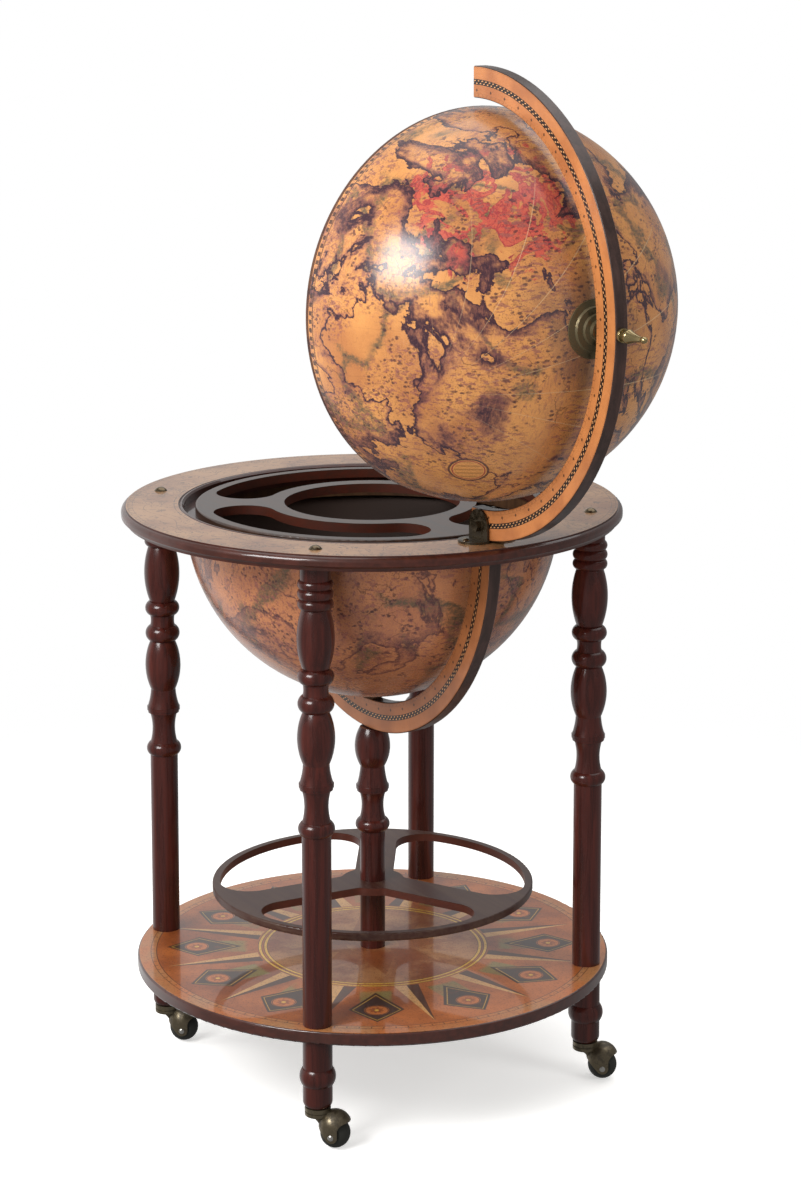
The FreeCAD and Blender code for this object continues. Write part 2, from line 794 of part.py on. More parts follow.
def pole_boss():
    """The stepped boss on the lid's pole."""
    top = upper_meridian_centre + upper_meridian_inner - pole_boss_gap
    edge = lid_centre + math.sqrt(lid_radius ** 2 - pole_boss_radius ** 2)
    outline = Outline(0, top)
    for radius_share, drop_share in pole_boss_shares:
        outline.line(pole_boss_radius * radius_share, top - (top - edge) * drop_share)
    outline.line(pole_boss_radius, edge - overrun).line(0, edge - overrun)
    return outline.turned().cut(ball(lid_radius + seat_clearance, lid_centre)).cut(pole_hole())


def pole_pin():
    """The pin through the meridian, the boss and the lid."""
    low = pole_block_bottom - shell_clearance - pole_nut_flange_height - pole_nut_height
    high = upper_meridian_centre + upper_meridian_outer + finial_pin_depth - overrun
    return post(pole_pin_radius, low, high)


def pole_nut():
    """The flanged nut on the pin inside the lid."""
    flange_top = pole_block_bottom - shell_clearance
    flange_low = flange_top - pole_nut_flange_height
    nut = post(pole_nut_flange_radius, flange_low, flange_top)
    low = flange_low - pole_nut_height
    nut = nut.fuse(hexagon(pole_nut_flat_radius, low, flange_low)).removeSplitter()
    return nut.cut(post(pole_pin_radius + running_clearance, low - overrun, flange_top + overrun))


def pole_finial():
    """The turned finial on the pin outside the meridian."""
    base = upper_meridian_centre + upper_meridian_outer + seat_clearance
    rows = rows_of(finial_turning_shares, finial_length, finial_radius)
    finial = turned_piece(rows, base + finial_length)
    return finial.cut(post(pole_pin_radius + running_clearance, base - overrun, base + finial_pin_depth))


def hinge_bracket(side):
    """A rounded angle bracket on the ring, on one side of the meridian."""
    ear = pin_along_y(bracket_radius, bracket_inner, bracket_outer, hinge_distance, hinge_height)
    web_low = at(hinge_distance - bracket_radius, bracket_inner, ring_top)
    ear = ear.fuse(Part.makeBox(2 * bracket_radius, bracket_thickness, hinge_rise, web_low))
    ear = ear.cut(slab(ring_bottom, ring_top))
    tab_top = ring_top + bracket_thickness
    tab = post(bracket_radius, ring_top, tab_top, hinge_distance, bracket_foot_centre)
    tab_reach = bracket_foot_centre - bracket_inner
    tab = tab.fuse(Part.makeBox(2 * bracket_radius, tab_reach, bracket_thickness, web_low))
    width = 2 * bracket_radius
    behind_low = at(hinge_distance - width, bracket_inner - width, ring_top - overrun)
    tab = tab.cut(Part.makeBox(2 * width, width, hinge_rise, behind_low))
    bracket = ear.fuse(tab).removeSplitter()
    bolt_radius = hinge_bolt_radius + running_clearance
    bracket = bracket.cut(pin_along_y(bolt_radius, 0, 2 * bracket_outer, hinge_distance, hinge_height))
    screw_radius = bracket_screw_radius + running_clearance
    screw_hole = post(screw_radius, ring_top - overrun, tab_top + overrun)
    bracket = bracket.cut(moved(screw_hole, hinge_distance, bracket_screw_place, 0))
    return bracket if side > 0 else bracket.mirror(nothing, along_y)


def bracket_screw(side):
    """A dome-head screw through a bracket's foot into the ring."""
    base = ring_top + bracket_thickness
    head = domed_head(bracket_screw_head_radius, bracket_screw_head_height, base)
    screw = head.fuse(post(bracket_screw_radius, ring_top - bracket_screw_reach, base)).removeSplitter()
    return moved(screw, hinge_distance, side * bracket_screw_place, 0)


def hinge_bolt():
    """The bolt that the meridian turns on, with its head on the -Y side."""
    tail_end = bracket_outer + hinge_bolt_tail
    shank = pin_along_y(hinge_bolt_radius, -bracket_outer, tail_end, hinge_distance, hinge_height)
    head = hexagon(hinge_bolt_head_radius, 0, hinge_bolt_head_height)
    head = spun(head, half_turn / 2, nothing, at(1, 0, 0))
    head = moved(head, hinge_distance, -bracket_outer, hinge_height)
    return shank.fuse(head).removeSplitter()


def hinge_nut():
    """The nut on the far end of the hinge bolt."""
    nut = hexagon(hinge_bolt_head_radius, 0, hinge_nut_height)
    nut = nut.cut(post(hinge_bolt_radius + running_clearance, -overrun, hinge_nut_height + overrun))
    nut = spun(nut, -half_turn / 2, nothing, at(1, 0, 0))
    return moved(nut, hinge_distance, bracket_outer, hinge_height)


def capsule(radius, low_centre, high_centre):
    """A ball drawn out upwards, on the caster's wheel."""
    body = post(radius, low_centre, high_centre)
    return moved(body.fuse(ball(radius, low_centre)).fuse(ball(radius, high_centre)), caster_trail, 0, 0)


def plate_along_y(edges, thickness):
    """A plate across Y from the edges of an outline in the XZ plane."""
    face = Part.Face(Part.Wire([edge.toShape() for edge in edges]))
    return moved(face.extrude(at(0, thickness, 0)), 0, -thickness / 2, 0)


def hood_side():
    """What a hood keeps of its ball, seen along the axle: two ears, a visor and a high back."""
    reach = 2 * hood_radius
    high = hood_rise + reach
    slope = math.radians(hood_back_slope)
    lean = at(-math.sin(slope), 0, -math.cos(slope)) * hood_ear_radius
    back_rise = lean.z + (reach + lean.x) * math.tan(slope)
    ear_foot = at(0, 0, -hood_ear_radius)
    ear_front = at(hood_ear_radius, 0, 0)
    visor_start = at(hood_ear_radius, 0, hood_ear_rise)
    visor_way = hood_visor_round * (1 - diagonal_share)
    visor_rise = hood_visor_round * diagonal_share
    visor_middle = visor_start + at(visor_way, 0, visor_rise)
    visor_end = visor_start + at(hood_visor_round, 0, hood_visor_round)
    brow = at(reach, 0, visor_end.z)
    corners = [brow, at(reach, 0, high), at(-reach, 0, high), at(-reach, 0, back_rise), lean]
    edges = [Part.LineSegment(first, last) for first, last in zip(corners, corners[1:])]
    edges.append(Part.Arc(lean, ear_foot, ear_front))
    edges.append(Part.LineSegment(ear_front, visor_start))
    edges.append(Part.Arc(visor_start, visor_middle, visor_end))
    edges.append(Part.LineSegment(visor_end, brow))
    return moved(plate_along_y(edges, 2 * reach), caster_trail, 0, wheel_radius)


def hood_web():
    """The web that carries a hood under its cup, hollowed along its outer edge."""
    top = cup_base_height + cup_bead_round
    start = at(-web_start, 0, cup_base_height)
    end = at(web_reach, 0, cup_base_height - web_drop)
    across = end - start
    middle = (start + end) / 2 + at(-across.z, 0, across.x) * (web_hollow / across.Length)
    corners = [end, at(caster_trail, 0, end.z), at(caster_trail, 0, top), at(-web_start, 0, top), start]
    edges = [Part.Arc(start, middle, end)]
    edges += [Part.LineSegment(first, last) for first, last in zip(corners, corners[1:])]
    return plate_along_y(edges, web_thickness)


def caster_hood():
    """The cup, web and hood of a caster in one casting, about its own swivel axis."""
    cup_top = cup_base_height + cup_height
    lip = cup_top - cup_lip_height
    bead_top = lip - cup_groove_height
    bead = cup_bead_round
    lean = bead - bead * diagonal_share
    outline = Outline(0, cup_top).line(cup_radius, cup_top).line(cup_radius, lip)
    outline.line(cup_radius - cup_groove_depth, lip).line(cup_radius - cup_groove_depth, bead_top)
    outline.line(cup_radius, bead_top).line(cup_radius, cup_base_height + bead)
    outline.arc(cup_radius - lean, cup_base_height + lean, cup_radius - bead, cup_base_height)
    outline.line(0, cup_base_height)
    outside = capsule(hood_radius, wheel_radius, wheel_radius + hood_rise)
    inside = capsule(hood_inner, wheel_radius, wheel_radius + hood_rise)
    hood = outside.common(hood_side())
    hood = hood.fuse(outline.turned()).fuse(hood_web()).removeSplitter().cut(inside)
    reach = 2 * hood_radius
    hood = hood.cut(pin_along_y(axle_radius + running_clearance, -reach, reach, caster_trail, wheel_radius))
    hood = hood.cut(post(stem_radius + running_clearance, cup_base_height, cup_top + overrun))
    return max(hood.Solids, key=lambda solid: solid.Volume)


def caster_stem():
    """The stem that stands in the cup and turns in the foot's socket."""
    return post(stem_radius, cup_base_height, stem_top)


def caster_axle():
    """The axle rivet, with a domed head at each side of the hood."""
    end = hood_radius + running_clearance
    head = spun(domed_head(axle_head_radius, axle_head_height, end), -half_turn / 2, nothing, at(1, 0, 0))
    shank = Part.makeCylinder(axle_radius, 2 * end, at(0, -end, 0), along_y)
    axle = shank.fuse(head).fuse(head.mirror(nothing, along_y)).removeSplitter()
    return moved(axle, caster_trail, 0, wheel_radius)


def caster_wheel():
    """The ball-shaped wheel with its hub."""
    edge = math.sqrt(wheel_radius ** 2 - wheel_half_width ** 2)
    bore = axle_radius + running_clearance
    outline = Outline(bore, -wheel_hub_half_length).line(wheel_hub_radius, -wheel_hub_half_length)
    outline.line(wheel_hub_radius, -wheel_half_width).line(edge, -wheel_half_width)
    outline.arc(wheel_radius, 0, edge, wheel_half_width)
    outline.line(wheel_hub_radius, wheel_half_width).line(wheel_hub_radius, wheel_hub_half_length)
    outline.line(bore, wheel_hub_half_length)
    wheel = spun(outline.turned(), half_turn / 2, nothing, at(1, 0, 0))
    return moved(wheel, caster_trail, 0, wheel_radius)


def save(name, solids):
    """Write one node, made of one solid or of several apart."""
    shape = Part.Compound(solids) if len(solids) > 1 else solids[0]
    shape.exportStep("parts/" + name + ".step")


os.makedirs("parts", exist_ok=True)

# Stand
save("lower_shelf", [lower_shelf()])
for name, leg, foot in zip(leg_names, at_legs(leg_post()), at_legs(leg_foot())):
    save("leg_post_" + name, [leg])
    save("leg_foot_" + name, [foot])
save("leg_studs", at_legs(leg_stud()))
save("ring_bolts", at_legs(ring_bolt()))
save("caster_sockets", at_legs(caster_socket()))
save("table_ring", [table_ring()])
save("serving_tray", [serving_tray()])
save("centre_column", [centre_column()])
save("column_base", [column_base()])
save("column_rod", [column_rod()])
save("column_nut", [column_nut()])
save("column_dowel", [column_dowel()])
save("bottle_ring", [bottle_ring()])

# Lower half of the globe
save("globe_bowl", [globe_bowl()])
save("bowl_hoop", [bowl_hoop()])
save("hoop_screws", [spun(hoop_screw(), full_turn * index / hoop_screws) for index in range(hoop_screws)])
save("bowl_floor", [bowl_floor()])
save("lower_meridian", [lower_meridian()])
save("meridian_dowels", [meridian_dowel(x) for x in meridian_dowel_places()])
save("meridian_spacer", [meridian_spacer()])
save("bowl_screw", [bowl_screw()])

# Hinge
save("hinge_bracket_near", [hinge_bracket(-1)])
save("hinge_bracket_far", [hinge_bracket(1)])
save("bracket_screws", [bracket_screw(side) for side in (-1, 1)])
save("hinge_bolt", [hinge_bolt()])
save("hinge_nut", [hinge_nut()])

# Upper half of the globe
save("upper_meridian", [opened(upper_meridian())])
save("pole_pin", [opened(pole_pin())])
save("pole_nut", [opened(pole_nut())])
save("pole_finial", [opened(pole_finial())])
save("globe_lid", [opened(globe_lid())])
save("pole_block", [opened(pole_block())])
save("pole_boss", [opened(pole_boss())])

# Casters
caster_pieces = [
    ("caster_hood_", caster_hood()),
    ("caster_stem_", caster_stem()),
    ("caster_axle_", caster_axle()),
    ("caster_wheel_", caster_wheel()),
]
for index, name in enumerate(leg_names):
    for prefix, piece in caster_pieces:
        save(prefix + name, [at_legs(spun(piece, caster_trail_angles[index]))[index]])
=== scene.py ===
"""Looks of a floor globe bar: a finish for every piece, the studio and the camera."""
from __future__ import annotations

import logging
import math
from dataclasses import dataclass, field
from enum import Enum
from functools import reduce
from typing import Iterable, Optional, Union

import bmesh
import bpy
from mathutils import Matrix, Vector


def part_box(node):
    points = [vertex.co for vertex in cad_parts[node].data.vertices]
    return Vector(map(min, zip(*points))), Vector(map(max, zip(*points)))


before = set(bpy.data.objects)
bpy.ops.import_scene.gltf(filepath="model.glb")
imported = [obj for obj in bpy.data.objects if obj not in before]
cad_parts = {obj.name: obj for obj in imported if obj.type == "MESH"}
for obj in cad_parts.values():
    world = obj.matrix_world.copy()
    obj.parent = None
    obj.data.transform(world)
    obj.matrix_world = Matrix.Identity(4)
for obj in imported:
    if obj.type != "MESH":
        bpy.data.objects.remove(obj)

log = logging.getLogger("globe_bar")

LEGS = ("front", "right", "rear", "left")
MM = 0.001
FULL_TURN = 2 * math.pi
WHITE = (1.0, 1.0, 1.0, 1.0)

Colour = tuple[float, float, float, float]
Place = tuple[float, float, float]
Span = tuple[float, float]
Socket = bpy.types.NodeSocket
Paint = Union[Colour, Socket]
Number = Union["Field", float]


def ink(code: str) -> Colour:
    """Turn a screen colour into the shader's linear one.

    Args:
        code: Six hexadecimal digits, red, green and blue.

    Returns:
        Red, green, blue and a full alpha.
    """
    shares = [int(code[place:place + 2], 16) / 255 for place in (0, 2, 4)]
    linear = [s / 12.92 if s <= 0.04045 else ((s + 0.055) / 1.055) ** 2.4 for s in shares]
    return (linear[0], linear[1], linear[2], 1.0)


class Field:
    """A number that varies over a surface and takes part in plain sums."""

    def __init__(self, graph: Graph, socket: Socket) -> None:
        """Keep the graph and the socket that gives the number."""
        self.graph = graph
        self.socket = socket

    def __add__(self, other: Number) -> Field:
        """Add two numbers."""
        return self.graph.sum("ADD", self, other)

    __radd__ = __add__

    def __sub__(self, other: Number) -> Field:
        """Take a number away."""
        return self.graph.sum("SUBTRACT", self, other)

    def __rsub__(self, other: Number) -> Field:
        """Take this away from a number."""
        return self.graph.sum("SUBTRACT", other, self)

    def __mul__(self, other: Number) -> Field:
        """Multiply two numbers."""
        return self.graph.sum("MULTIPLY", self, other)

    def __truediv__(self, other: Number) -> Field:
        """Divide by a number."""
        return self.graph.sum("DIVIDE", self, other)

    def size(self) -> Field:
        """The number without its sign."""
        return self.graph.sum("ABSOLUTE", self)

    def wave(self) -> Field:
        """The sine of the number."""
        return self.graph.sum("SINE", self)

    def most(self, other: Number) -> Field:
        """The larger of two numbers."""
        return self.graph.sum("MAXIMUM", self, other)

    def least(self, other: Number) -> Field:
        """The smaller of two numbers."""
        return self.graph.sum("MINIMUM", self, other)

    def repeat(self, period: float) -> Field:
        """What is left past the last whole period, from zero up to the period."""
        return self.graph.sum("FLOORED_MODULO", self, period)

    def sector(self, count: float, offset: float = 0.0) -> Field:
        """Where a turn lies in its sector, from -0.5 to 0.5, with a count of sectors to a full turn."""
        return (self * (count / FULL_TURN) + offset).repeat(1.0) - 0.5

    def rise(self, low: Number, high: Number) -> Field:
        """Climb smoothly from 0 at one value to 1 at another."""
        return self.graph.step(self, (low, high), (0.0, 1.0))

    def fall(self, low: Number, high: Number) -> Field:
        """Drop smoothly from 1 at one value to 0 at another."""
        return self.graph.step(self, (low, high), (1.0, 0.0))

    def line(self, middle: Number, half: Number, blur: float) -> Field:
        """Draw a line: 1 within half a width of a value, 0 away from it, with soft sides."""
        return (self - middle).size().fall(half - blur, half + blur)

    def lines(self, blur: float, *lines: Span) -> Field:
        """Draw several lines, each given by its middle and half its width."""
        return reduce(Field.most, [self.line(middle, half, blur) for middle, half in lines])


@dataclass(frozen=True)
class Cloud:
    """Soft random patches.

    The fields say how many patches there are to a unit, how many finer layers are added, how strong
    these are, how far the patches are twisted, and how their places are stretched and shifted.
    """

    scale: float
    detail: float = 2.0
    roughness: float = 0.5
    warp: float = 0.0
    stretch: Place = (1.0, 1.0, 1.0)
    shift: Place = (0.0, 0.0, 0.0)


@dataclass(frozen=True)
class Patches(Cloud):
    """Patches that show where a cloud climbs from a low to a high value."""

    low: float = 0.3
    high: float = 0.7
    weight: float = 1.0

    def cut(self, cloud: Field) -> Field:
        """Cut the patches from a cloud."""
        return cloud.rise(self.low, self.high) * self.weight


@dataclass(frozen=True)
class Veins(Cloud):
    """Lines that run where a cloud passes a middle value."""

    middle: float = 0.5
    half: float = 0.01
    blur: float = 0.005
    weight: float = 1.0

    def cut(self, cloud: Field) -> Field:
        """Cut the lines from a cloud."""
        return cloud.line(self.middle, self.half, self.blur) * self.weight


class Graph:
    """Builds the nodes of one material."""

    def __init__(self, name: str) -> None:
        """Start a material with nothing but its shader and output.

        Args:
            name: The material's name.
        """
        self.material = bpy.data.materials.new(name)
        self.material.use_nodes = True
        self.tree = self.material.node_tree
        self.tree.nodes.clear()
        self.shader = self.node("ShaderNodeBsdfPrincipled")
        output = self.node("ShaderNodeOutputMaterial")
        self.tree.links.new(self.shader.outputs["BSDF"], output.inputs["Surface"])
        self.place = self.node("ShaderNodeTexCoord").outputs["Object"]

    def node(self, kind: str, **settings: object) -> bpy.types.ShaderNode:
        """Add a node.

        Args:
            kind: The node's type.
            settings: Values for its properties.

        Returns:
            The new node.
        """
        made = self.tree.nodes.new(kind)
        for key, value in settings.items():
            setattr(made, key, value)
        return made

    def join(self, targets: Iterable[Socket], values: Iterable[object]) -> None:
        """Give each socket its field, other socket or constant.

        Args:
            targets: The sockets to fill.
            values: What each of them takes, in the same order.
        """
        for target, value in zip(targets, values):
            value = value.socket if isinstance(value, Field) else value
            if isinstance(value, Socket):
                self.tree.links.new(value, target)
            else:
                target.default_value = value

    def sum(self, operation: str, first: Number, second: Optional[Number] = None) -> Field:
        """Work out one step of arithmetic.

        Args:
            operation: The step's name, as the math node spells it.
            first: The first number.
            second: The second number, where the step has one.

        Returns:
            The result as a field.
        """
        made = self.node("ShaderNodeMath", operation=operation)
        self.join(made.inputs, (first,) if second is None else (first, second))
        return Field(self, made.outputs[0])

    def step(self, value: Field, span: tuple[Number, Number], ends: Span) -> Field:
        """Go smoothly from a start to an end.

        Args:
            value: The field that drives the step.
            span: The values at which the step starts and ends.
            ends: What it gives at the start and at the end.

        Returns:
            The stepped field.
        """
        made = self.node("ShaderNodeMapRange", interpolation_type="SMOOTHSTEP")
        self.join(made.inputs, (value, *span, *ends))
        return Field(self, made.outputs[0])

    def parts(self, vector: Socket) -> tuple[Field, Field, Field]:
        """Take a vector apart.

        Args:
            vector: The vector's socket.

        Returns:
            Its three numbers.
        """
        made = self.node("ShaderNodeSeparateXYZ")
        self.join(made.inputs, (vector,))
        return tuple(Field(self, out) for out in made.outputs)

    def vector(self, *numbers: Number) -> Socket:
        """Put three numbers together.

        Args:
            numbers: The three numbers.

        Returns:
            The vector's socket.
        """
        made = self.node("ShaderNodeCombineXYZ")
        self.join(made.inputs, numbers)
        return made.outputs[0]

    def vector_sum(self, operation: str, *values: object) -> Socket:
        """Work out one step of vector arithmetic.

        Args:
            operation: The step's name, as the vector math node spells it.
            values: The vectors that it takes.

        Returns:
            The resulting vector's socket.
        """
        made = self.node("ShaderNodeVectorMath", operation=operation)
        self.join(made.inputs, values)
        return made.outputs[0]

    def about(self, centre: Place) -> tuple[Field, Field, Field]:
        """The place on the piece, in metres from a centre."""
        return self.parts(self.vector_sum("SUBTRACT", self.place, centre))

    def polar(self, across: Field, along: Field) -> tuple[Field, Field]:
        """The radius and the turn in radians of a place in a plane."""
        radius = self.sum("SQRT", across * across + along * along)
        return radius, self.sum("ARCTAN2", along, across)

    def noise(self, vector: Socket, cloud: Cloud) -> Field:
        """Lay a cloud over the surface.

        Args:
            vector: The place that the cloud follows.
            cloud: The cloud's settings.

        Returns:
            A field from about 0 to 1.
        """
        moved = self.vector_sum("MULTIPLY_ADD", vector, cloud.stretch, cloud.shift)
        made = self.node("ShaderNodeTexNoise")
        names = ("Vector", "Scale", "Detail", "Roughness", "Distortion")
        values = (moved, cloud.scale, cloud.detail, cloud.roughness, cloud.warp)
        self.join([made.inputs[name] for name in names], values)
        return Field(self, made.outputs[0])

    def cut(self, vector: Socket, cloud: Union[Patches, Veins]) -> Field:
        """Lay a cloud over the surface and cut its patches or its lines."""
        return cloud.cut(self.noise(vector, cloud))

    def cells(self, vector: Socket, scale: float) -> tuple[Field, Field]:
        """Lay random cells over the surface.

        Args:
            vector: The place that the cells follow.
            scale: How many cells there are to a unit.

        Returns:
            The distance from the cell's middle, and a random number for each cell.
        """
        made = self.node("ShaderNodeTexVoronoi")
        self.join((made.inputs["Vector"], made.inputs["Scale"]), (vector, scale))
        red, _, _ = self.parts(made.outputs["Color"])
        return Field(self, made.outputs["Distance"]), red

    def mix(self, kind: str, share: Number, under: object, top: object) -> Socket:
        """Mix two values.

        Args:
            kind: What is mixed, RGBA or VECTOR.
            share: How much of the top value shows, from 0 to 1.
            under: The value below.
            top: The value laid over it.

        Returns:
            The mixed value's socket.
        """
        made = self.node("ShaderNodeMix", data_type=kind, clamp_factor=True)
        under_socket, top_socket = [socket for socket in made.inputs if socket.type == kind][-2:]
        self.join((made.inputs[0], under_socket, top_socket), (share, under, top))
        return next(socket for socket in made.outputs if socket.type == kind)

    def over(self, share: Number, under: Paint, top: Paint) -> Socket:
        """Lay a share of one colour over another."""
        return self.mix("RGBA", share, under, top)

    def relief(self, height: Field, depth: float, strength: float) -> None:
        """Raise and sink the surface.

        Args:
            height: The field that the surface follows, from 0 to 1.
            depth: How far it is raised, in metres.
            strength: How much of that is shown, from 0 to 1.
        """
        made = self.node("ShaderNodeBump")
        names = ("Height", "Distance", "Strength")
        self.join([made.inputs[name] for name in names], (height, depth, strength))
        self.set(Normal=made.outputs[0])

    def set(self, **values: object) -> None:
        """Set sockets of the shader by name, with _ for a space."""
        self.join([self.shader.inputs[name.replace("_", " ")] for name in values], values.values())


class Sheet:
    """A printed face: the place that clouds follow on it and the colour laid so far."""

    def __init__(self, graph: Graph, place: Socket, colour: Paint) -> None:
        """Start with a plain face.

        Args:
            graph: The face's material.
            place: The place that clouds follow.
            colour: The colour of the bare face.
        """
        self.graph = graph
        self.place = place
        self.colour = colour

    def noise(self, cloud: Cloud) -> Field:
        """Lay a cloud over the face."""
        return self.graph.noise(self.place, cloud)

    def cut(self, cloud: Union[Patches, Veins]) -> Field:
        """Lay a cloud over the face and cut its patches or its lines."""
        return self.graph.cut(self.place, cloud)

    def lay(self, share: Number, top: Paint) -> None:
        """Lay a share of a colour over what is there."""
        self.colour = self.graph.over(share, self.colour, top)


class Disc(Sheet):
    """The top of a turned board, measured from its upright axis."""

    face_edge: Span = (-0.6 * MM, -0.3 * MM)

    def __init__(self, graph: Graph, top: float, colour: Paint) -> None:
        """Measure the places.

        Args:
            graph: The board's material.
            top: The height of the board's top.
            colour: The colour of the bare top.
        """
        super().__init__(graph, graph.place, colour)
        self.x, self.y, self.height = graph.about((0.0, 0.0, top))
        self.radius, self.turn = graph.polar(self.x, self.y)

    def top_face(self) -> Field:
        """1 on the board's top, 0 below it."""
        return self.height.rise(*self.face_edge)

    def along(self, count: float, offset: float = 0.0) -> Field:
        """The distance along the circle from the middle of the nearest of a count of sectors."""
        return self.turn.sector(count, offset) * self.radius * (FULL_TURN / count)

    def turned(self, share: Field, centre: Span) -> None:
        """Shade a turned edge as the true round that it is.

        Args:
            share: Where the edge is, from 0 to 1.
            centre: The radius and the height of the round's centre.
        """
        out = (self.radius - centre[0]) / self.radius
        away = self.graph.vector(self.x * out, self.y * out, self.height - centre[1])
        flat = self.graph.node("ShaderNodeNewGeometry").outputs["Normal"]
        normal = self.graph.mix("VECTOR", share, flat, self.graph.vector_sum("NORMALIZE", away))
        self.graph.set(Normal=normal, Coat_Normal=normal)


class Finish:
    """A finish that makes its material once and then hands it out."""

    name: str

    def paint(self, graph: Graph) -> None:
        """Build the finish's nodes in a material's graph."""
        raise NotImplementedError

    def material(self) -> bpy.types.Material:
        """Make the finish's material on first use.

        Returns:
            The material.
        """
        found = bpy.data.materials.get(self.name)
        if found is None:
            graph = Graph(self.name)
            self.paint(graph)
            found = graph.material
        return found


class Grain(Enum):
    """Which way the grain runs: how it is stretched along each axis."""

    UPRIGHT = (1.0, 1.0, 0.06)
    LEVEL = (0.06, 1.0, 1.0)


@dataclass(frozen=True)
class LacqueredWood(Finish):
    """Stained wood under lacquer."""

    name: str
    deep: Colour
    warm: Colour
    roughness: float
    coat: float
    grain: Grain = Grain.UPRIGHT
    swing: float = 0.03
    coat_roughness: float = 0.16
    specular: float = 0.25
    dent: float = 0.1 * MM
    dent_share: float = 0.15
    fibres: Patches = Patches(120.0, 5.0, 0.62, 0.4, low=0.3, high=0.72)
    pores: Patches = Patches(1080.0, low=0.6, high=0.75, weight=0.4)
    blotches: Patches = Patches(9.0, low=0.35, high=0.8, weight=0.45)

    def stain(self, graph: Graph) -> tuple[Socket, Field]:
        """Stain the wood along its grain.

        Args:
            graph: The material's graph.

        Returns:
            The stained colour and the grain that it follows.
        """
        lengthways = graph.vector_sum("MULTIPLY", graph.place, self.grain.value)
        grain = graph.noise(lengthways, self.fibres)
        colour = graph.over(self.fibres.cut(grain), self.deep, self.warm)
        colour = graph.over(graph.cut(graph.place, self.blotches), colour, self.deep)
        return graph.over(graph.cut(lengthways, self.pores), colour, self.deep), grain

    def lacquer(self, graph: Graph, colour: Paint, cloud: Field) -> None:
        """Put lacquer over a colour.

        Args:
            graph: The material's graph.
            colour: The colour under the lacquer.
            cloud: The cloud that its roughness follows.
        """
        graph.set(Base_Color=colour, Roughness=cloud * self.swing + self.roughness)
        graph.set(Coat_Weight=self.coat, Coat_Roughness=self.coat_roughness)
        graph.set(Specular_IOR_Level=self.specular)

    def paint(self, graph: Graph) -> None:
        """Build the finish's nodes.

        Args:
            graph: The material's graph.
        """
        colour, grain = self.stain(graph)
        self.lacquer(graph, colour, grain)
        graph.relief(grain, self.dent, self.dent_share)


@dataclass(frozen=True)
class TrayStain(LacqueredWood):
    """Dark stained board whose cut walls are redder than its top."""

    swing: float = 0.1
    coat_roughness: float = 0.2
    specular: float = 0.5
    dent: float = 0.12 * MM
    dent_share: float = 0.25
    top: float = 0.0
    edge: float = 0.0
    skin: float = 0.4 * MM
    wall: Colour = ink("4a2015")
    streaks: Span = (0.3, 0.7)
    streak_share: float = 0.5

    def paint(self, graph: Graph) -> None:
        """Build the finish's nodes.

        Args:
            graph: The material's graph.
        """
        colour, grain = self.stain(graph)
        disc = Disc(graph, self.top, colour)
        below = disc.height.fall(-2 * self.skin, -self.skin)
        walls = below * disc.radius.fall(self.edge - self.skin, self.edge)
        wall = graph.over(grain.rise(*self.streaks) * self.streak_share, self.wall, self.deep)
        disc.lay(walls, wall)
        self.lacquer(graph, disc.colour, grain)
        graph.relief(grain, self.dent, self.dent_share)


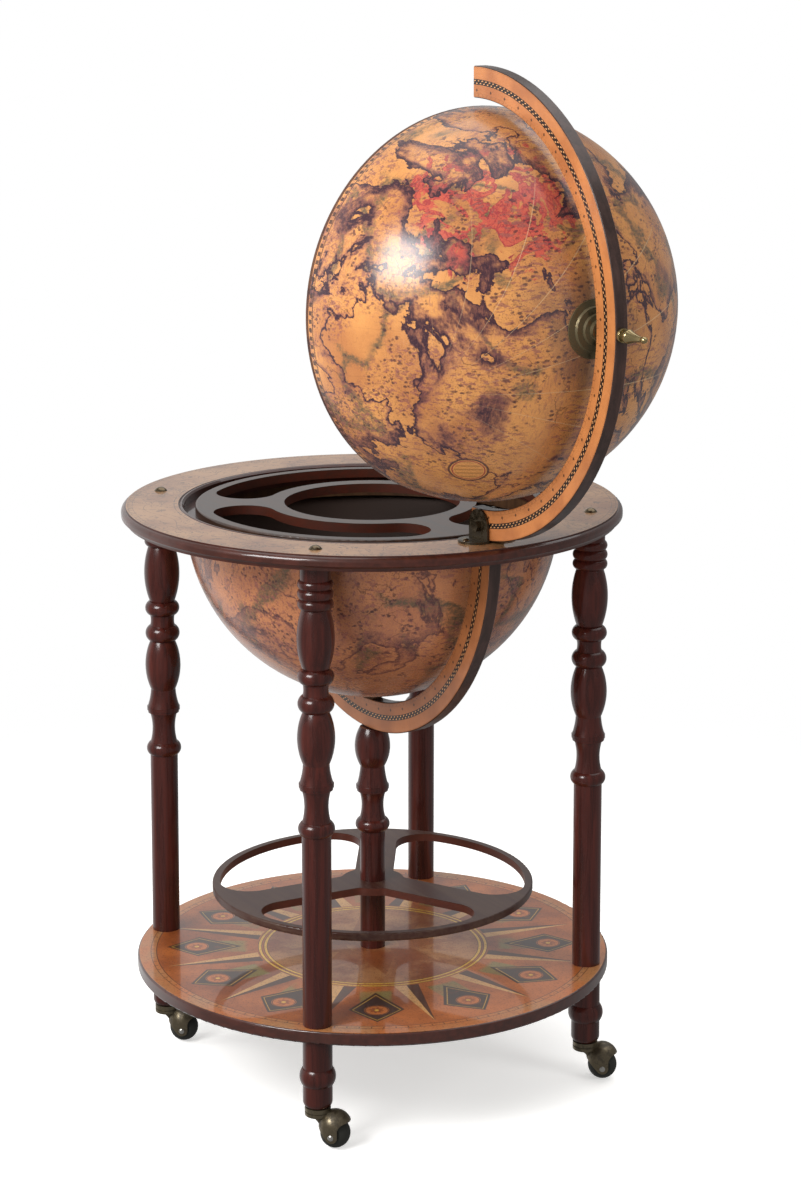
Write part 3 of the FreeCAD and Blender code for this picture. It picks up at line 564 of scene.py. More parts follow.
@dataclass(frozen=True)
class RingPrint(LacqueredWood):
    """Parchment print with a scale and a vine on the ring's top, between dark moulded edges."""

    swing: float = 0.01
    coat_roughness: float = 0.05
    specular: float = 0.3
    top: float = 0.0
    inner: float = 220.5 * MM
    outer: float = 279.7 * MM
    inner_blur: float = 0.3 * MM
    outer_blur: float = 0.2 * MM
    paper: Colour = ink("a57a52")
    shade: Colour = ink("84593a")
    line: Colour = ink("46301f")
    tint: Patches = Patches(14.0, 4.0, 0.6, low=0.35, high=0.7)
    sketch: Veins = Veins(42.0, 6.0, 0.6, 1.2, half=0.012, blur=0.008, weight=0.7)
    wear: Patches = Patches(60.0, 4.0, 0.6, low=0.3, high=0.55)
    leaves: int = 48
    vine_swing: float = 10 * MM
    vine_half: float = 0.5 * MM
    vine_blur: float = 0.25 * MM
    vine_share: float = 0.55
    leaf_swing: float = 7 * MM
    leaf_slimness: float = 1.7
    leaf_edge: Span = (5.5 * MM, 6.5 * MM)
    leaf_share: float = 0.4
    pen_blur: float = 0.2 * MM
    scale_share: float = 0.8
    scale_place: float = 5 * MM
    scale_half: float = 2.5 * MM
    rule_half: float = 0.35 * MM
    inner_rule: float = 4.5 * MM
    inner_rule_half: float = 0.45 * MM
    ticks: int = 180
    tick_half: float = 1.7 * MM
    tick_edge: Span = (0.06, 0.12)
    nose_centre: Span = (278.88 * MM, -7.3 * MM)
    nose_start: Span = (1.2 * MM, 1.3 * MM)
    nose_low: float = -8.0 * MM
    nose_high: float = -1.6 * MM
    nose_blur: float = 0.1 * MM

    def paint(self, graph: Graph) -> None:
        """Build the finish's nodes.

        Args:
            graph: The material's graph.
        """
        edge, grain = self.stain(graph)
        disc = Disc(graph, self.top, self.paper)
        disc.lay(disc.cut(self.tint), self.shade)
        disc.lay(disc.cut(self.sketch), self.line)
        drawn = self.vine(disc).most(self.scale(disc) * self.scale_share)
        disc.lay(drawn * disc.cut(self.wear), self.line)
        printed = disc.top_face() * disc.radius.rise(self.inner - self.inner_blur, self.inner)
        printed = printed * disc.radius.fall(self.outer - self.outer_blur, self.outer)
        self.lacquer(graph, graph.over(printed, edge, disc.colour), grain)
        nose = disc.radius.rise(self.outer + self.nose_start[0], self.outer + self.nose_start[1])
        nose = nose * disc.height.rise(self.nose_low - self.nose_blur, self.nose_low)
        nose = nose * disc.height.fall(self.nose_high, self.nose_high + self.nose_blur)
        disc.turned(nose, self.nose_centre)

    def vine(self, disc: Disc) -> Field:
        """Draw a waving vine with its leaves.

        Args:
            disc: The places on the ring.

        Returns:
            How strongly the drawing shows.
        """
        middle = (self.inner + self.outer) / 2
        wave = (disc.turn * self.leaves / 4).wave()
        stem = disc.radius.line(middle + wave * self.vine_swing, self.vine_half, self.vine_blur)
        across = disc.turn.sector(self.leaves).size() * (FULL_TURN * middle / self.leaves)
        out = (disc.radius - (middle - wave * self.leaf_swing)).size()
        leaf = (across + out * self.leaf_slimness).fall(*self.leaf_edge)
        return (stem * self.vine_share).most(leaf * self.leaf_share)

    def scale(self, disc: Disc) -> Field:
        """Draw a ruled scale along the outer edge and a rule along the inner one.

        Args:
            disc: The places on the ring.

        Returns:
            1 on the lines, 0 beside them.
        """
        place = self.outer - self.scale_place
        tick = disc.turn.sector(self.ticks).size().fall(*self.tick_edge)
        tick = tick * disc.radius.line(place, self.tick_half, self.pen_blur)
        rules = disc.radius.lines(self.pen_blur, (place + self.scale_half, self.rule_half),
                                  (place - self.scale_half, self.rule_half),
                                  (self.inner + self.inner_rule, self.inner_rule_half))
        return tick.most(rules)


@dataclass(frozen=True)
class ShelfInks:
    """The colours of the shelf's print."""

    paper: Colour = ink("b4662f")
    pale: Colour = ink("c99a5f")
    sand: Colour = ink("a9764a")
    shade: Colour = ink("7d3f1c")
    dark: Colour = ink("38241b")
    green: Colour = ink("7c7440")
    gold: Colour = ink("d0a03f")


@dataclass(frozen=True)
class ShelfLayer:
    """A layer of the shelf's print, with what all its layers share."""

    inks: ShelfInks
    panels: int = 12
    ring_inner: float = 125 * MM
    border: float = 251.5 * MM
    pen_blur: float = 0.2 * MM

    def draw(self, disc: Disc) -> None:
        """Draw the layer on the shelf."""
        raise NotImplementedError


@dataclass(frozen=True)
class Sectors(ShelfLayer):
    """Greenish panels inside the ring of kites, one for each kite."""

    radius: float = 170 * MM
    reach: float = 22 * MM
    reach_blur: float = 4 * MM
    side_edge: Span = (16 * MM, 20 * MM)
    wash: Patches = Patches(25.0, 3.0, low=0.3, high=0.6, weight=0.85)

    def draw(self, disc: Disc) -> None:
        """Draw the layer.

        Args:
            disc: The shelf's top.
        """
        side = disc.along(self.panels, 0.5).size().fall(*self.side_edge)
        panel = disc.radius.line(self.radius, self.reach, self.reach_blur) * side
        disc.lay(panel * disc.cut(self.wash), self.inks.green)


@dataclass(frozen=True)
class Rays(ShelfLayer):
    """The rays that stand between the kites, each with a light and a dark half."""

    start: Span = (10 * MM, 11 * MM)
    end: float = 4 * MM
    slope: float = 0.13
    side_edge: float = 0.8 * MM
    light_share: float = 0.85
    dark_share: float = 0.9

    def draw(self, disc: Disc) -> None:
        """Draw the layer.

        Args:
            disc: The shelf's top.
        """
        side = disc.along(self.panels)
        half = (self.border - self.end - disc.radius) * self.slope
        inside = (half - side.size()).rise(0.0, self.side_edge)
        inside = inside * disc.radius.rise(*(self.ring_inner + place for place in self.start))
        is_dark = side.rise(-self.pen_blur, self.pen_blur)
        disc.lay(inside * (1.0 - is_dark) * self.light_share, self.inks.pale)
        disc.lay(inside * is_dark * self.dark_share, self.inks.dark)


@dataclass(frozen=True)
class Kites(ShelfLayer):
    """The dark kites with their medallions."""

    radius: float = 205 * MM
    half_width: float = 31 * MM
    outward: float = 34 * MM
    inward: float = 52 * MM
    edge: Span = (0.98, 1.03)
    gold_line: Place = (0.86, 0.022, 0.015)
    gold_share: float = 0.7
    medallion: Span = (13.7 * MM, 14 * MM)
    medallion_line: Span = (12.8 * MM, 0.5 * MM)
    petals: int = 8
    petal_depth: float = 1.6 * MM
    petal_edge: Span = (6.6 * MM, 7.2 * MM)
    petal_share: float = 0.75
    stud: Span = (2.4 * MM, 2.9 * MM)

    def draw(self, disc: Disc) -> None:
        """Draw the layer.

        Args:
            disc: The shelf's top.
        """
        side = disc.along(self.panels, 0.5)
        out = disc.radius - self.radius
        reach = out.most(0.0) / self.outward + (0.0 - out).most(0.0) / self.inward
        kite = side.size() / self.half_width + reach
        away, petal_turn = disc.graph.polar(out, side)
        petals = away + (petal_turn * self.petals).wave() * self.petal_depth
        disc.lay(kite.fall(*self.edge), self.inks.dark)
        disc.lay(kite.line(*self.gold_line) * self.gold_share, self.inks.gold)
        disc.lay(away.fall(*self.medallion), self.inks.paper)
        disc.lay(away.line(*self.medallion_line, self.pen_blur), self.inks.dark)
        disc.lay(petals.fall(*self.petal_edge) * self.petal_share, self.inks.shade)
        disc.lay(away.fall(*self.stud), self.inks.gold)


@dataclass(frozen=True)
class Middle(ShelfLayer):
    """The pale middle, its star and its gold rings."""

    blur: float = 0.5 * MM
    wash: Patches = Patches(18.0, 5.0, 0.6, low=0.35, high=0.65)
    points: int = 8
    point_slope: float = 0.34
    point_edge: Span = (33 * MM, 34 * MM)
    star_hole: Span = (30 * MM, 31 * MM)
    star_share: float = 0.6
    ring_gap: float = 6.5 * MM
    ring_half: float = 2.2 * MM
    gold_half: float = 1.5 * MM
    ring_blur: float = 0.3 * MM

    def draw(self, disc: Disc) -> None:
        """Draw the layer.

        Args:
            disc: The shelf's top.
        """
        sand = disc.graph.over(disc.cut(self.wash), self.inks.sand, self.inks.shade)
        disc.lay(disc.radius.fall(self.ring_inner - self.blur, self.ring_inner), sand)
        point = disc.along(self.points).size() + disc.radius * self.point_slope
        star = point.fall(*self.point_edge) * disc.radius.rise(*self.star_hole)
        disc.lay(star * self.star_share, self.inks.shade)
        for ring in (self.ring_inner, self.ring_inner + self.ring_gap):
            disc.lay(disc.radius.line(ring, self.ring_half, self.ring_blur), self.inks.dark)
            disc.lay(disc.radius.line(ring, self.gold_half, self.ring_blur), self.inks.gold)


@dataclass(frozen=True)
class Edging(ShelfLayer):
    """The tan border with its scale."""

    blur: float = 0.4 * MM
    wash: Patches = Patches(22.0, 4.0, low=0.3, high=0.7)
    rule_half: float = 0.5 * MM
    rule_blur: float = 0.25 * MM
    scale_width: float = 6.5 * MM
    scale_half: float = 0.4 * MM
    ticks: int = 120
    tick_share: Span = (0.05, 0.03)
    tick_place: float = 4 * MM
    tick_half: float = 2 * MM
    share: float = 0.85

    def draw(self, disc: Disc) -> None:
        """Draw the layer.

        Args:
            disc: The shelf's top.
        """
        tan = disc.graph.over(disc.cut(self.wash), self.inks.sand, self.inks.paper)
        disc.lay(disc.radius.rise(self.border, self.border + self.blur), tan)
        tick = disc.turn.sector(self.ticks).line(0.0, *self.tick_share)
        tick = tick * disc.radius.line(self.border + self.tick_place, self.tick_half, self.pen_blur)
        rule = disc.radius.line(self.border, self.rule_half, self.rule_blur)
        scale = disc.radius.line(self.border + self.scale_width, self.scale_half, self.pen_blur)
        disc.lay(rule.most(scale).most(tick) * self.share, self.inks.dark)


@dataclass(frozen=True)
class ShelfPrint(LacqueredWood):
    """Orange-brown print with a ring of kite panels and rays, on a board with a dark edge."""

    swing: float = 0.08
    coat_roughness: float = 0.04
    specular: float = 0.5
    top: float = 0.0
    board: float = 273.3 * MM
    rim: Span = (271.1 * MM, 271.5 * MM)
    edge_round: float = 2.5 * MM
    edge_blur: float = 0.1 * MM
    inks: ShelfInks = ShelfInks()
    tint: Patches = Patches(11.0, 4.0, 0.6, low=0.3, high=0.7)
    fine: Patches = Patches(110.0, 5.0, 0.65, low=0.5, high=0.75, weight=0.45)
    specks: Patches = Patches(480.0, low=0.56, high=0.64, weight=0.4)

    def paint(self, graph: Graph) -> None:
        """Build the finish's nodes.

        Args:
            graph: The material's graph.
        """
        edge, _ = self.stain(graph)
        disc = Disc(graph, self.top, self.inks.paper)
        disc.lay(disc.cut(self.tint), self.inks.shade)
        for layer in (Sectors, Rays, Kites, Middle, Edging):
            layer(self.inks).draw(disc)
        fine = disc.noise(self.fine)
        disc.lay(self.fine.cut(fine), self.inks.shade)
        disc.lay(disc.cut(self.specks), self.inks.dark)
        printed = disc.top_face() * disc.radius.fall(*self.rim)
        self.lacquer(graph, graph.over(printed, edge, disc.colour), fine)
        centre = (self.board - self.edge_round, -self.edge_round)
        rounded = disc.radius.rise(centre[0], centre[0] + self.edge_blur)
        rounded = rounded * disc.height.rise(centre[1], centre[1] + self.edge_blur)
        disc.turned(rounded, centre)


@dataclass(frozen=True)
class MeridianPrint(LacqueredWood):
    """Orange print with a plaited black line on the faces of a meridian, and dark edges."""

    swing: float = 0.1
    coat_roughness: float = 0.18
    specular: float = 0.5
    dent: float = 0.08 * MM
    dent_share: float = 0.3
    centre: Place = (0.0, 0.0, 0.0)
    inner: float = 219.5 * MM
    outer: float = 253 * MM
    half: float = 7.85 * MM
    face_edge: Span = (0.5 * MM, 0.2 * MM)
    paper: Colour = ink("b97541")
    shade: Colour = ink("9c5d32")
    black: Colour = ink("1c0f0b")
    pale: Colour = ink("cf9560")
    tint: Patches = Patches(30.0, 3.0, low=0.3, high=0.75)
    fine: Patches = Patches(260.0, 4.0, 0.6, low=0.5, high=0.8, weight=0.4)
    wear: Span = (0.2, 0.4)
    plaits: int = 216
    plait_share: float = 0.5
    plait_half: float = 2.9 * MM
    plait_edge: Span = (0.95, 1.05)
    gap_row: float = 0.46
    gap_lean: float = 0.35
    gap_shape: Span = (1.6, 1.35)
    gap_edge: Span = (0.36, 0.44)
    degrees: int = 180
    tick_share: Span = (0.05, 0.03)
    tick_place: float = 3.2 * MM
    tick_half: float = 1.2 * MM
    tick_blur: float = 0.2 * MM
    tick_weight: float = 0.6
    inner_rule: Span = (1.7 * MM, 0.3 * MM)
    scale_rule: Span = (4.8 * MM, 0.25 * MM)
    outer_rule: Span = (1.9 * MM, 0.3 * MM)
    rule_blur: float = 0.15 * MM
    rule_weight: float = 0.22
    marks: int = 54
    mark_share: float = 0.24
    mark_edge: Span = (1.4 * MM, 2.5 * MM)
    mark_weight: float = 0.8

    def paint(self, graph: Graph) -> None:
        """Build the finish's nodes.

        Args:
            graph: The material's graph.
        """
        edge, _ = self.stain(graph)
        across, side, up = graph.about(self.centre)
        radius, turn = graph.polar(across, up)
        fine = graph.noise(graph.place, self.fine)
        colour = graph.over(graph.cut(graph.place, self.tint), self.paper, self.shade)
        colour = graph.over(self.fine.cut(fine), colour, self.shade)
        out = (radius - self.across(self.plait_share)) / self.plait_half
        band = out.size().fall(*self.plait_edge)
        drawn = self.scale(radius, turn) * fine.rise(*self.wear)
        colour = graph.over(drawn.most(band), colour, self.black)
        colour = graph.over(band * self.gaps(turn, out), colour, self.pale)
        face = side.size().rise(self.half - self.face_edge[0], self.half - self.face_edge[1])
        self.lacquer(graph, graph.over(face, edge, colour), fine)
        graph.relief(fine, self.dent, self.dent_share)

    def across(self, share: float) -> float:
        """The radius at a share of the way from the inner edge to the outer one."""
        return self.inner + (self.outer - self.inner) * share

    def scale(self, radius: Field, turn: Field) -> Field:
        """Draw the rules, the ticks and the small marks beside the plait.

        Args:
            radius: The distance from the meridian's centre.
            turn: The turn about it.

        Returns:
            How strongly the drawing shows.
        """
        tick = turn.sector(self.degrees).line(0.0, *self.tick_share)
        tick = tick * radius.line(self.inner + self.tick_place, self.tick_half, self.tick_blur)
        rules = radius.lines(self.rule_blur, (self.inner + self.inner_rule[0], self.inner_rule[1]),
                             (self.inner + self.scale_rule[0], self.scale_rule[1]),
                             (self.outer - self.outer_rule[0], self.outer_rule[1]))
        along = turn.sector(self.marks).size() * radius * (FULL_TURN / self.marks)
        mark = (along + (radius - self.across(self.mark_share)).size()).fall(*self.mark_edge)
        return (rules * self.rule_weight).most(tick * self.tick_weight).most(mark * self.mark_weight)

    def gaps(self, turn: Field, out: Field) -> Field:
        """Draw the two rows of gaps that make the black line a plait.

        Args:
            turn: The turn about the meridian's centre.
            out: The distance from the line's middle, in half widths.

        Returns:
            1 in the gaps, 0 on the line.
        """
        along = turn * (self.plaits / FULL_TURN)
        upper = self.diamonds(along, out - self.gap_row)
        return upper.most(self.diamonds(along + 0.5, out + self.gap_row))

    def diamonds(self, along: Field, out: Field) -> Field:
        """Draw one row of slanted gaps.

        Args:
            along: The place along the row, in gaps.
            out: The distance from the row's middle, in half widths of the line.

        Returns:
            1 in the gaps, 0 between them.
        """
        lean = (along + out * self.gap_lean).repeat(1.0) - 0.5
        return (lean.size() * self.gap_shape[0] + out.size() * self.gap_shape[1]).fall(*self.gap_edge)


class Pole(Enum):
    """Where the pole of half a globe points at rest."""

    UP = "up"
    SIDEWAYS = "sideways"


class Chart(Sheet):
    """The skin of half a globe, in radii, with the height of its land and its fine specks."""

    land_cloud: Cloud = Cloud(1.95, 8.0, 0.55, 0.5, shift=(3.7, 1.9, 5.2))
    fine_cloud: Cloud = Cloud(70.0, 3.0, 0.6)

    def __init__(self, graph: Graph, axes: tuple[Field, Field, Field], radius: float, rim: float,
                 colour: Paint) -> None:
        """Measure the places.

        Args:
            graph: The globe's material.
            axes: The places along east, north and the pole.
            radius: The globe's radius.
            rim: How far the half globe's rim is from the globe's centre.
            colour: The colour of the bare paper.
        """
        super().__init__(graph, graph.vector(*axes), colour)
        self.east, self.north, self.pole = axes
        self.turn = graph.sum("ARCTAN2", self.north, self.east)
        self.land = self.noise(self.land_cloud)
        self.fine = self.noise(self.fine_cloud)
        self.millimetres = radius / MM
        self.from_rim = (self.pole - rim / radius).size() * self.millimetres

    def ragged(self, depth: float) -> Field:
        """A small number that frays an edge, by half a depth either way."""
        return (self.fine - 0.5) * depth

    def near(self, place: Place) -> Field:
        """Measure from a place on the globe.

        Args:
            place: The place, in radii.

        Returns:
            The distance from it, in radii.
        """
        made = self.graph.node("ShaderNodeVectorMath", operation="DISTANCE")
        self.graph.join(made.inputs, (self.place, place))
        return Field(self.graph, made.outputs["Value"])


@dataclass(frozen=True)
class MapInks:
    """The colours of the globe's print."""

    paper: Colour = ink("d09052")
    tan: Colour = ink("ad6f42")
    umber: Colour = ink("6d4128")
    mauve: Colour = ink("85504a")
    coast: Colour = ink("3b242d")
    line: Colour = ink("3a2119")
    olive: Colour = ink("564d3c")
    red: Colour = ink("b94a41")
    wine: Colour = ink("8c2a35")
    pale: Colour = ink("dcbf95")
    slate: Colour = ink("4b4042")


@dataclass(frozen=True)
class MapLayer:
    """A layer of the globe's print."""

    inks: MapInks

    def draw(self, chart: Chart) -> None:
        """Draw the layer on the globe."""
        raise NotImplementedError


@dataclass(frozen=True)
class Borders(MapLayer):
    """Soft olive borders."""

    lines: Veins = Veins(1.5, 6.0, 0.45, 0.5, shift=(9.1, 2.3, 4.4), half=0.02, blur=0.014)
    fray: float = 0.05
    parts: Patches = Patches(1.9, shift=(4.9, 0.8, 6.1), low=0.38, high=0.46)
    streaks: Patches = Patches(1.0, 3.0, 0.6, 0.4, (80.0, 24.0, 50.0), low=0.3, high=0.62, weight=0.5)
    least: float = 0.42

    def draw(self, chart: Chart) -> None:
        """Draw the layer.

        Args:
            chart: The globe's skin.
        """
        soft = self.lines.cut(chart.noise(self.lines) + chart.ragged(self.fray))
        streaks = chart.cut(self.streaks) + self.least
        chart.lay(soft * chart.cut(self.parts) * streaks, self.inks.olive)


@dataclass(frozen=True)
class RedRealm(MapLayer):
    """A red realm with its veins and its boundary."""

    place: Place = (-0.62, -0.42, 0.66)
    edge: Span = (0.82, 0.86)
    edge_cloud: Cloud = Cloud(5.0, 8.0, 0.62)
    fray: float = 0.9
    band: Veins = Veins(4.4, 6.0, 0.55, 0.7, shift=(0.6, 3.9, 8.2), half=0.04, blur=0.008)
    wear: Span = (0.15, 0.45)
    share: float = 0.85
    veins: Veins = Veins(15.0, 6.0, 0.6, 0.8, half=0.026, blur=0.018, weight=0.7)
    bound: Place = (0.46, 0.008, 0.005)
    bound_share: float = 0.8

    def draw(self, chart: Chart) -> None:
        """Draw the layer.

        Args:
            chart: The globe's skin.
        """
        reach = chart.near(self.place) + chart.noise(self.edge_cloud) * self.fray
        within = reach.fall(*self.edge)
        cloud = chart.noise(self.band)
        realm = within * self.band.cut(cloud)
        chart.lay(realm * chart.fine.rise(*self.wear) * self.share, self.inks.red)
        chart.lay(realm * chart.cut(self.veins), self.inks.wine)
        chart.lay(within * cloud.line(*self.bound) * self.bound_share, self.inks.wine)


@dataclass(frozen=True)
class Hills(MapLayer):
    """Ranges of small hatched hills, and rivers."""

    stretch: Place = (1.5, 0.8, 1.2)
    scale: float = 36.0
    ranges: Veins = Veins(2.9, 4.0, 0.5, 0.4, shift=(1.7, 8.8, 2.9), half=0.036, blur=0.02)
    fray: float = 0.9
    edge: Span = (0.26, 0.5)
    chance: Span = (0.25, 0.3)
    share: float = 0.8
    rivers: Veins = Veins(2.4, 8.0, shift=(5.5, 5.1, 7.3), half=0.0028, blur=0.002, weight=0.6)
    river_start: Span = (0.5, 0.51)

    def draw(self, chart: Chart) -> None:
        """Draw the layer.

        Args:
            chart: The globe's skin.
        """
        stretched = chart.graph.vector_sum("MULTIPLY", chart.place, self.stretch)
        away, chance = chart.graph.cells(stretched, self.scale)
        hill = (away + chart.ragged(self.fray)).fall(*self.edge)
        hill = hill * chance.rise(*self.chance) * chart.cut(self.ranges)
        chart.lay(hill * self.share, self.inks.coast)
        chart.lay(chart.cut(self.rivers) * chart.land.rise(*self.river_start), self.inks.line)


@dataclass(frozen=True)
class PenStrokes(MapLayer):
    """Fine strokes and dots on parts of the chart."""

    parts: Patches = Patches(3.2, 3.0, shift=(2.2, 6.6, 1.1), low=0.42, high=0.54)
    level: Patches = Patches(1.0, 3.0, 0.6, 0.5, (62.0, 15.0, 40.0), low=0.52, high=0.6, weight=0.7)
    upright: Patches = Patches(1.0, 3.0, 0.6, 0.4, (20.0, 95.0, 60.0), low=0.54, high=0.6, weight=0.4)
    upright_parts: Span = (0.1, 0.5)
    upright_land: Span = (0.47, 0.52)
    dots: Patches = Patches(130.0, 2.0, 0.6, low=0.57, high=0.66, weight=0.5)

    def draw(self, chart: Chart) -> None:
        """Draw the layer.

        Args:
            chart: The globe's skin.
        """
        parts = chart.cut(self.parts)
        upright = chart.cut(self.upright) * parts.fall(*self.upright_parts)
        chart.lay(chart.cut(self.level) * parts, self.inks.mauve)
        chart.lay(upright * chart.land.rise(*self.upright_land), self.inks.mauve)
        chart.lay(chart.cut(self.dots) * parts, self.inks.line)


@dataclass(frozen=True)
class Shores(MapLayer):
    """Bands along the coasts, dark at the shore and ragged inland, and the shore's own line."""

    share: float = 1.0
    height: float = 0.5
    step: Span = (0.499, 0.502)
    line: Place = (0.504, 0.007, 0.003)
    fray: float = 0.03
    width: Patches = Patches(2.6, 3.0, shift=(7.7, 3.3, 0.4), low=0.35, high=0.65)
    hatch: Patches = Patches(1.0, 3.0, 0.6, 0.0, (26.0, 90.0, 40.0), low=0.38, high=0.56, weight=0.5)
    hatch_least: float = 0.5
    wash_share: float = 0.85
    wash_reach: Span = (0.1, 0.03)
    dark_share: float = 0.95
    dark_full: float = 0.018
    dark_reach: Span = (0.062, 0.018)

    def draw(self, chart: Chart) -> None:
        """Draw the layer.

        Args:
            chart: The globe's skin.
        """
        broad = chart.cut(self.width)
        inland = chart.land - self.height + chart.ragged(self.fray)
        ashore = chart.land.rise(*self.step)
        hatch = chart.cut(self.hatch) + self.hatch_least
        wash = ashore * inland.fall(0.0, broad * self.wash_reach[0] + self.wash_reach[1])
        dark = inland.fall(broad * self.dark_full, broad * self.dark_reach[0] + self.dark_reach[1])
        chart.lay(wash * (self.wash_share * self.share), self.inks.mauve)
        chart.lay(ashore * dark * hatch * (self.dark_share * self.share), self.inks.coast)
        chart.lay(chart.land.line(*self.line) * self.share, self.inks.coast)


@dataclass(frozen=True)
class PoleShade(MapLayer):
    """Darker, greyer paper round the pole: painted shade on the side of the lid that faces away from the
    light.
    """

    cloud: Cloud = Cloud(3.4, 5.0, 0.6)
    fray: float = 0.8
    edge: Span = (0.55, 0.85)
    share: float = 0.6

    def draw(self, chart: Chart) -> None:
        """Draw the layer.

        Args:
            chart: The globe's skin.
        """
        # Lay the painted shade round the pole.
        reach = chart.near((0.0, 0.0, 1.0)) + chart.noise(self.cloud) * self.fray
        chart.lay(reach.fall(*self.edge) * self.share, self.inks.slate)


@dataclass(frozen=True)
class Cartouche(MapLayer):
    """A round panel with a double frame, filled with ruled lines, in millimetres."""

    place: Place = (0.72, -0.42, 0.55)
    edge: Span = (19.5, 20.0)
    rule_step: float = 0.022
    rule: Place = (0.011, 0.004, 0.002)
    rule_edge: Span = (14.5, 15.5)
    rule_share: float = 0.35
    frame_line: Place = (17.0, 0.6, 0.3)
    scallops: Cloud = Cloud(26.0, 1.0)
    scallop_depth: float = 2.0
    scallop_line: Place = (21.0, 1.3, 0.5)
    scallop_share: float = 0.85

    def draw(self, chart: Chart) -> None:
        """Draw the layer.

        Args:
            chart: The globe's skin.
        """
        away = chart.near(self.place) * chart.millimetres
        scallop = away + chart.noise(self.scallops) * self.scallop_depth
        rules = chart.east.repeat(self.rule_step).line(*self.rule) * away.fall(*self.rule_edge)
        chart.lay(away.fall(*self.edge), self.inks.paper)
        chart.lay(rules * self.rule_share, self.inks.line)
        chart.lay(away.line(*self.frame_line), self.inks.wine)
        chart.lay(scallop.line(*self.scallop_line) * self.scallop_share, self.inks.coast)


@dataclass(frozen=True)
class Net(MapLayer):
    """The net of meridians and parallels, and pale rhumb lines that spread from a rose."""

    count: int = 24
    line: Span = (0.0018, 0.0035)
    parallel: Span = (0.4955, 0.498)
    wear: Span = (0.3, 0.5)
    share: float = 0.3
    rose: Place = (0.30, -0.72, 0.62)
    rose_reach: Span = (-0.05, 0.3)
    rhumb: Span = (0.488, 0.496)
    rhumb_share: float = 0.45

    def draw(self, chart: Chart) -> None:
        """Draw the layer.

        Args:
            chart: The globe's skin.
        """
        tilt = chart.graph.sum("ARCSINE", chart.pole.least(1.0).most(-1.0))
        flat = chart.graph.sum("COSINE", tilt)
        meridians = (0.5 - chart.turn.sector(self.count).size()) * flat
        parallels = tilt.sector(self.count).size().rise(*self.parallel)
        lines = meridians.fall(*self.line).most(parallels)
        chart.lay(lines * chart.fine.rise(*self.wear) * self.share, self.inks.line)
        east, north, pole = self.rose
        spread = chart.graph.sum("ARCTAN2", chart.north - north, chart.east - east)
        rhumb = spread.sector(self.count).size().rise(*self.rhumb)
        near = chart.pole.rise(*(pole + reach for reach in self.rose_reach))
        chart.lay(rhumb * near * self.rhumb_share, self.inks.pale)


@dataclass(frozen=True)
class RimScale(MapLayer):
    """The dashed scale, its rule and the dark lip at the rim, in millimetres."""

    dashes: int = 150
    dash_edge: Span = (-0.02, 0.02)
    band: Place = (10.4, 2.7, 0.3)
    rule: Place = (14.4, 0.7, 0.2)
    lip: Span = (6.2, 6.6)
    share: float = 0.9

    def draw(self, chart: Chart) -> None:
        """Draw the layer.

        Args:
            chart: The globe's skin.
        """
        dashes = chart.turn.sector(self.dashes).rise(*self.dash_edge)
        chart.lay(chart.from_rim.line(*self.band) * dashes * self.share, self.inks.line)
        rules = chart.from_rim.line(*self.rule).most(chart.from_rim.fall(*self.lip))
        chart.lay(rules * self.share, self.inks.line)


@dataclass(frozen=True)
class MapPrint(Finish):
    """A made-up old chart on a globe: coasts, hills, rivers, a red realm and a fine net of lines."""

    name: str
    centre: Place
    radius: float
    pole: Pole
    rim: float
    inks: MapInks = MapInks()
    shore_share: float = 1.0
    age: Patches = Patches(3.1, 4.0, 0.55, low=0.34, high=0.72)
    specks: Span = (0.52, 0.8)
    speck_share: float = 0.3
    # The dark inside of the shell: partly its own dark lining, partly painted shade within the globe.
    inside: Colour = ink("2c1c14")
    inside_edge: Span = (2.2 * MM, 1.8 * MM)
    roughness: float = 0.22
    fine_roughness: float = 0.1
    dull_roughness: float = 0.5
    coat: float = 0.3
    coat_roughness: float = 0.19
    specular: float = 0.45
    sheen: float = 0.08
    sheen_roughness: float = 0.4
    dent: float = 0.04 * MM
    dent_share: float = 0.2

    def paint(self, graph: Graph) -> None:
        """Build the finish's nodes.

        Args:
            graph: The material's graph.
        """
        x, y, z = graph.about(self.centre)
        axes = [place * (1 / self.radius) for place in (x, y, z)]
        if self.pole is Pole.SIDEWAYS:
            axes = [axes[2] * -1.0, axes[1], axes[0]]
        chart = Chart(graph, tuple(axes), self.radius, self.rim, self.inks.paper)
        self.draw(chart)
        out, _ = graph.polar(graph.polar(x, y)[0], z)
        # Lay the dark inside: the lining colour together with painted shade.
        shell = out.fall(*(self.radius - depth for depth in self.inside_edge))
        chart.lay(shell, self.inside)
        dull = shell.most(chart.from_rim.fall(*RimScale.lip))
        roughness = chart.fine * self.fine_roughness + dull * self.dull_roughness + self.roughness
        graph.set(Base_Color=chart.colour, Roughness=roughness)
        graph.set(Coat_Weight=self.coat - dull * self.coat, Coat_Roughness=self.coat_roughness)
        graph.set(Specular_IOR_Level=self.specular)
        graph.set(Sheen_Weight=self.sheen, Sheen_Roughness=self.sheen_roughness)
        graph.relief(chart.fine, self.dent, self.dent_share)

    def draw(self, chart: Chart) -> None:
        """Draw every layer on the aged paper.

        Args:
            chart: The globe's skin.
        """
        chart.lay(chart.cut(self.age), self.inks.tan)
        layers = [kind(self.inks) for kind in (Borders, RedRealm, Hills, PenStrokes)]
        layers.append(Shores(self.inks, self.shore_share))
        layers += [kind(self.inks) for kind in (PoleShade, Cartouche, Net, RimScale)]
        for layer in layers:
            layer.draw(chart)
        chart.lay(chart.fine.rise(*self.specks) * self.speck_share, self.inks.umber)


class Patina(Enum):
    """How far a metal has aged: the values of its cloud between which it turns dull."""

    AGED = (0.3, 0.54)
    RUBBED = (0.44, 0.645)
    BRIGHT = (0.58, 0.75)


